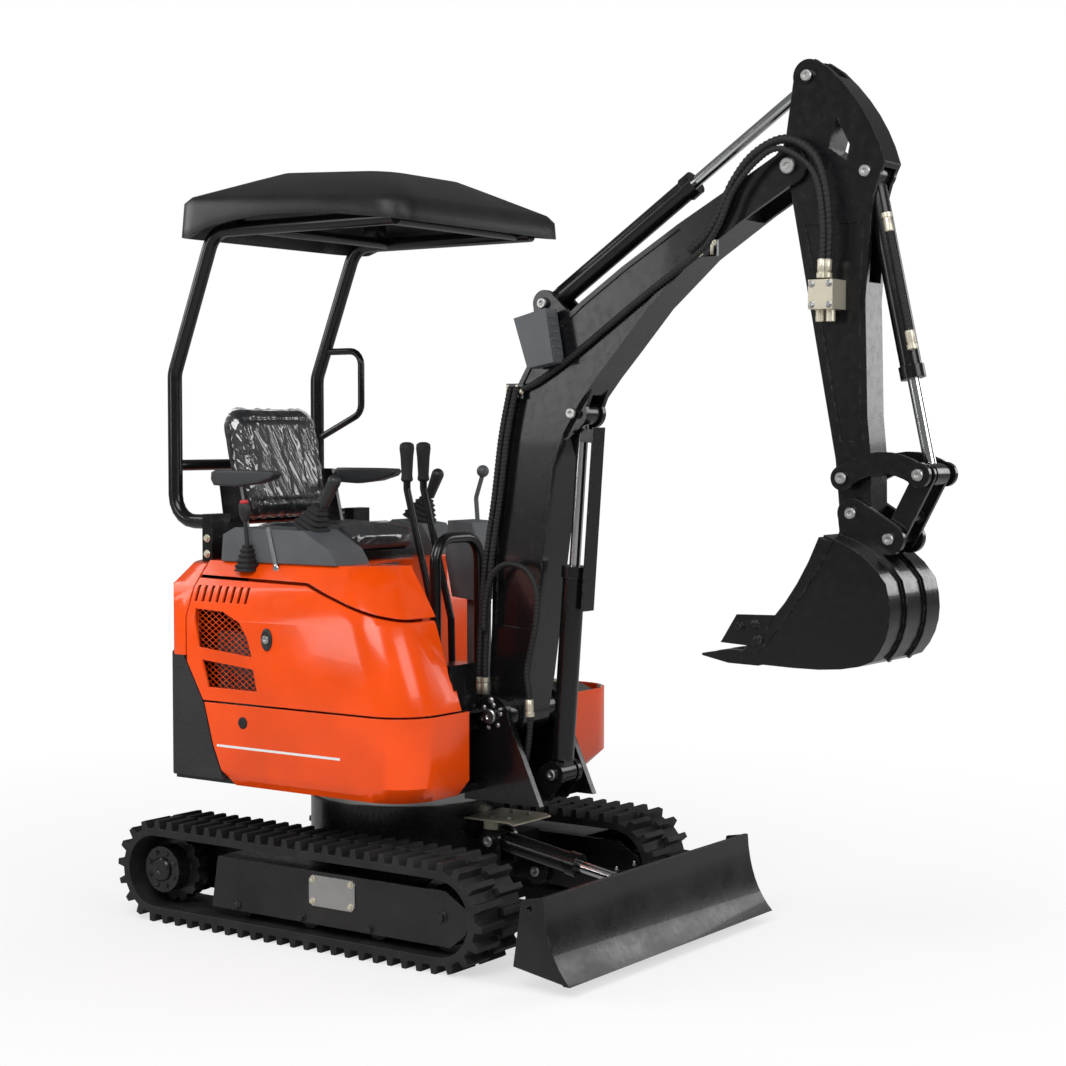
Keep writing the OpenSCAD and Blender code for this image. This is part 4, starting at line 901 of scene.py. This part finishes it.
# Work lamp: a box moulded in dark plastic, bolted to the boom's elbow, with rows of diodes in
# its face that are grey because the lamp is off.
dress(dark_plastic, "work_lamp")
lamp_face = bmesh.new()
face_top, face_low = Vector((0.6005, 0, 1.8035)), Vector((0.6265, 0, 1.6595))
row_start, row_pitch, column_start, column_pitch = 0.018, 0.0215, -0.112, 0.014
diode_steps = ((0.0050, -0.001), (0.0050, 0.002), (0.0042, 0.0028), (0.0022, 0.0008), (0.001, 0.0008))
down = (face_low - face_top).normalized()
forward = Vector((-down.z, 0, down.x))
for row in range(6):
    for column in range(3):
        beside = Vector((0, column_start + column_pitch * column, 0))
        spot = face_top + down * (row_start + row_pitch * row) + beside
        lathe(lamp_face, spot, forward, diode_steps, 16)
finish_piece(lamp_face, "lamp_diodes", engine_paint, "boom")

# Hoses: braided rubber in a spiral guard, with crimped steel ends, clipped along the boom
# and arched over each joint so that they follow the arm.
hose_rubber = rubber("hose_rubber", (0.010, 0.010, 0.0105, 1), (0.035, 0.035, 0.035, 1))


def hose_line(route, y, steps=14):
    """Smooth line through a side view's points, in metres, at one distance from the middle."""
    line = []
    for i in range(len(route) - 1):
        a, b, c, d = (Vector(route[min(max(i + k, 0), len(route) - 1)]) for k in (-1, 0, 1, 2))
        for k in range(steps):
            t = k / steps
            q = b + (c - a) * t / 2 + (2 * a - 5 * b + 4 * c - d) * t * t / 2
            q += (3 * b - a - 3 * c + d) * t**3 / 2
            line.append(Vector((q.x / 1000, y / 1000, q.y / 1000)))
    last = route[-1]
    return line + [Vector((last[0] / 1000, y / 1000, last[1] / 1000))]


def add_hose(shape, line, radius, pitch=0.012, rib=0.0008, sides=14):
    """Adds a hose with a spiral rib, its rings evenly spaced along the line."""
    lengths = [0.0]
    for a, b in zip(line, line[1:]):
        lengths.append(lengths[-1] + (b - a).length)
    count = int(lengths[-1] / pitch * 5)
    rings, place = [], 0
    for n in range(count + 1):
        along = lengths[-1] * n / count
        while place < len(line) - 2 and lengths[place + 1] < along:
            place += 1
        part = (along - lengths[place]) / (lengths[place + 1] - lengths[place])
        point = line[place].lerp(line[place + 1], part)
        way = (line[min(place + 2, len(line) - 1)] - line[max(place - 1, 0)]).normalized()
        beside = Vector((0, 1, 0))
        above = way.cross(beside).normalized()
        ring = []
        for k in range(sides):
            a = 2 * math.pi * k / sides
            out = radius - rib + 2 * rib * max(0.0, math.sin(2 * math.pi * along / pitch - a))
            ring.append(shape.verts.new(point + out * (math.cos(a) * beside + math.sin(a) * above)))
        rings.append(ring)
    join_rings(shape, rings)


def bend_piece(shape, name, material, slot, first, second, start, end, nodes=()):
    """Makes a piece on no body, with its transform baked in, and hides the CAD nodes it stands for."""
    made = finish_piece(shape, name, material, None, 60)
    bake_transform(made)
    if nodes:
        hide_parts(*nodes)


crimp_steps = (
    (0.0095, 0), (0.0118, 0.002), (0.0118, 0.03), (0.0108, 0.032),
    (0.0108, 0.036), (0.0135, 0.037), (0.0135, 0.049), (0.008, 0.051),
)
hose_radius = 0.009
rear_route = ((340, 452), (338, 700), (346, 900), (364, 1090), (394, 1270), (420, 1450), (452, 1590))
arch_route = (
    (369, 890), (374, 970), (394, 1040), (430, 1076), (474, 1084), (524, 1066), (556, 1010), (554, 920),
    (532, 830), (522, 770), (530, 710), (534, 640), (526, 560), (512, 490), (505, 435),
)
rear_y, arch_y = -86.0, -104.3
boom_hose, boom_crimps = bmesh.new(), bmesh.new()
for shift in (0, 21):
    line = hose_line([(x + shift, z) for x, z in rear_route], rear_y)
    add_hose(boom_hose, line, hose_radius)
    for z, way in ((0.64, -1), (0.70, 1)):
        spot = ((339 + shift) / 1000, rear_y / 1000, z)
        lathe(boom_crimps, spot, (0, 0, way), crimp_steps, 20)
add_hose(boom_hose, hose_line(arch_route, arch_y), hose_radius)
lathe(boom_crimps, (0.5305, arch_y / 1000, 0.70), (0.06, 0, -1), crimp_steps, 20)
foot_bend = ("house", "boom", (0.36, -0.09, 0.50), (0.36, -0.09, 0.98))
bend_piece(boom_hose, "boom_hose_run", hose_rubber, "hose_rubber", *foot_bend, ["boom_hoses"])
bend_piece(boom_crimps, "boom_hose_ends", zinc_plate, "zinc", *foot_bend)

arm_route = (
    (1050, 1946), (1100, 1984), (1142, 2044), (1180, 2120), (1244, 2190), (1334, 2222), (1414, 2180),
    (1450, 2090), (1460, 1980), (1456, 1853),
)
lower_shifts = ((12, -26),) * 5 + ((-8, -26),) * 2 + ((-8, 0),) + ((-4, 0),) * 2
lower_route = [(x + right, z + up) for (x, z), (right, up) in zip(arm_route, lower_shifts)]
arm_hose, arm_crimps = bmesh.new(), bmesh.new()
add_hose(arm_hose, hose_line(arm_route, -89.0), 0.012, 0.014, 0.001)
add_hose(arm_hose, hose_line(lower_route, -109.4), 0.008)
for spot, wide in (((1.4565, -0.089, 1.9065), 1.25), ((1.4535, -0.1094, 1.9055), 0.9)):
    lathe(arm_crimps, spot, (-0.03, 0, -1), [(r * wide, h) for r, h in crimp_steps], 20)
joint_bend = ("boom", "stick", (1.15, -0.09, 2.1), (1.44, -0.09, 2.1))
bend_piece(arm_hose, "arm_hose_run", hose_rubber, "hose_rubber", *joint_bend, ["arm_hoses"])
bend_piece(arm_crimps, "arm_hose_ends", zinc_plate, "zinc", *joint_bend)

bucket_hose, bucket_hose_ends = bmesh.new(), bmesh.new()
hose_top, hose_end = Vector((1.5938, -0.0275, 2.0216)), Vector((1.6716, -0.0275, 1.6701))
add_hose(bucket_hose, [hose_top.lerp(hose_end, k / 40) for k in range(41)], hose_radius)
lathe(bucket_hose_ends, hose_top.lerp(hose_end, 0.86), hose_end - hose_top, crimp_steps, 20)
lathe(bucket_hose_ends, hose_top.lerp(hose_end, 0.14), hose_top - hose_end, crimp_steps, 20)
barrel_hose = finish_piece(
    bucket_hose, "bucket_hose_run", hose_rubber, "bucket_barrel", 60
)
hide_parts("bucket_hose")
finish_piece(bucket_hose_ends, "bucket_hose_ends", zinc_plate, "bucket_barrel")

side_hose = bmesh.new()
side_route = ((478, 1580), (540, 1606), (640, 1664), (760, 1744), (900, 1838), (1074, 1944))
add_hose(side_hose, hose_line(side_route, -72.0), 0.0095)
finish_piece(side_hose, "boom_side_hose", hose_rubber, "boom", 60)

# Bucket edge: the side cutters are held by three bolts on each side, which are painted black
# with the bucket.
cutter_bolts, cutter_face = bmesh.new(), 0.158
for side in (-1, 1):
    for x, z in ((1.247, 0.950), (1.292, 0.958), (1.300, 0.918)):
        add_bolt(cutter_bolts, (x, side * cutter_face, z), (0, side, 0), 0.0105, x * 11)
finish_piece(cutter_bolts, "cutter_bolts", black_enamel, "bucket")

# Hose clamps and valve block: clamps of zinc-plated steel strip, bolted over the hoses to the
# boom's side, and a plated steel block, bolted to the side of the stick.
dress(zinc_plate, "valve_block")
clamp_bolts = bmesh.new()
clip_face, strap_plane, strap_half, strap_spread, block_face = -0.0767, -0.0775, 0.018, 0.016, -0.119
for x, z in ((0.437, 1.578), (0.483, 1.578), (1.070, 1.938), (1.116, 1.966)):
    add_bolt(clamp_bolts, (x, clip_face, z), (0, -1, 0), 0.0062, x * 7)
for x, z in ((0.452, 1.578), (1.094, 1.953)):
    for side in (-1, 1):
        strap_x = x + side * strap_spread
        strap = [(strap_x, strap_plane, z + end * strap_half) for end in (-1, 1)]
        add_bar(clamp_bolts, *strap, (0, 1, 0), 0.0016, 0.009)
finish_piece(clamp_bolts, "hose_clamp_bolts", zinc_plate, "boom")
block_bolts = bmesh.new()
for x in (1.430, 1.480):
    for z in (1.787, 1.841):
        add_bolt(block_bolts, (x, block_face, z), (0, -1, 0), 0.0068, x * 5)
finish_piece(block_bolts, "valve_block_bolts", bare_steel, "stick")
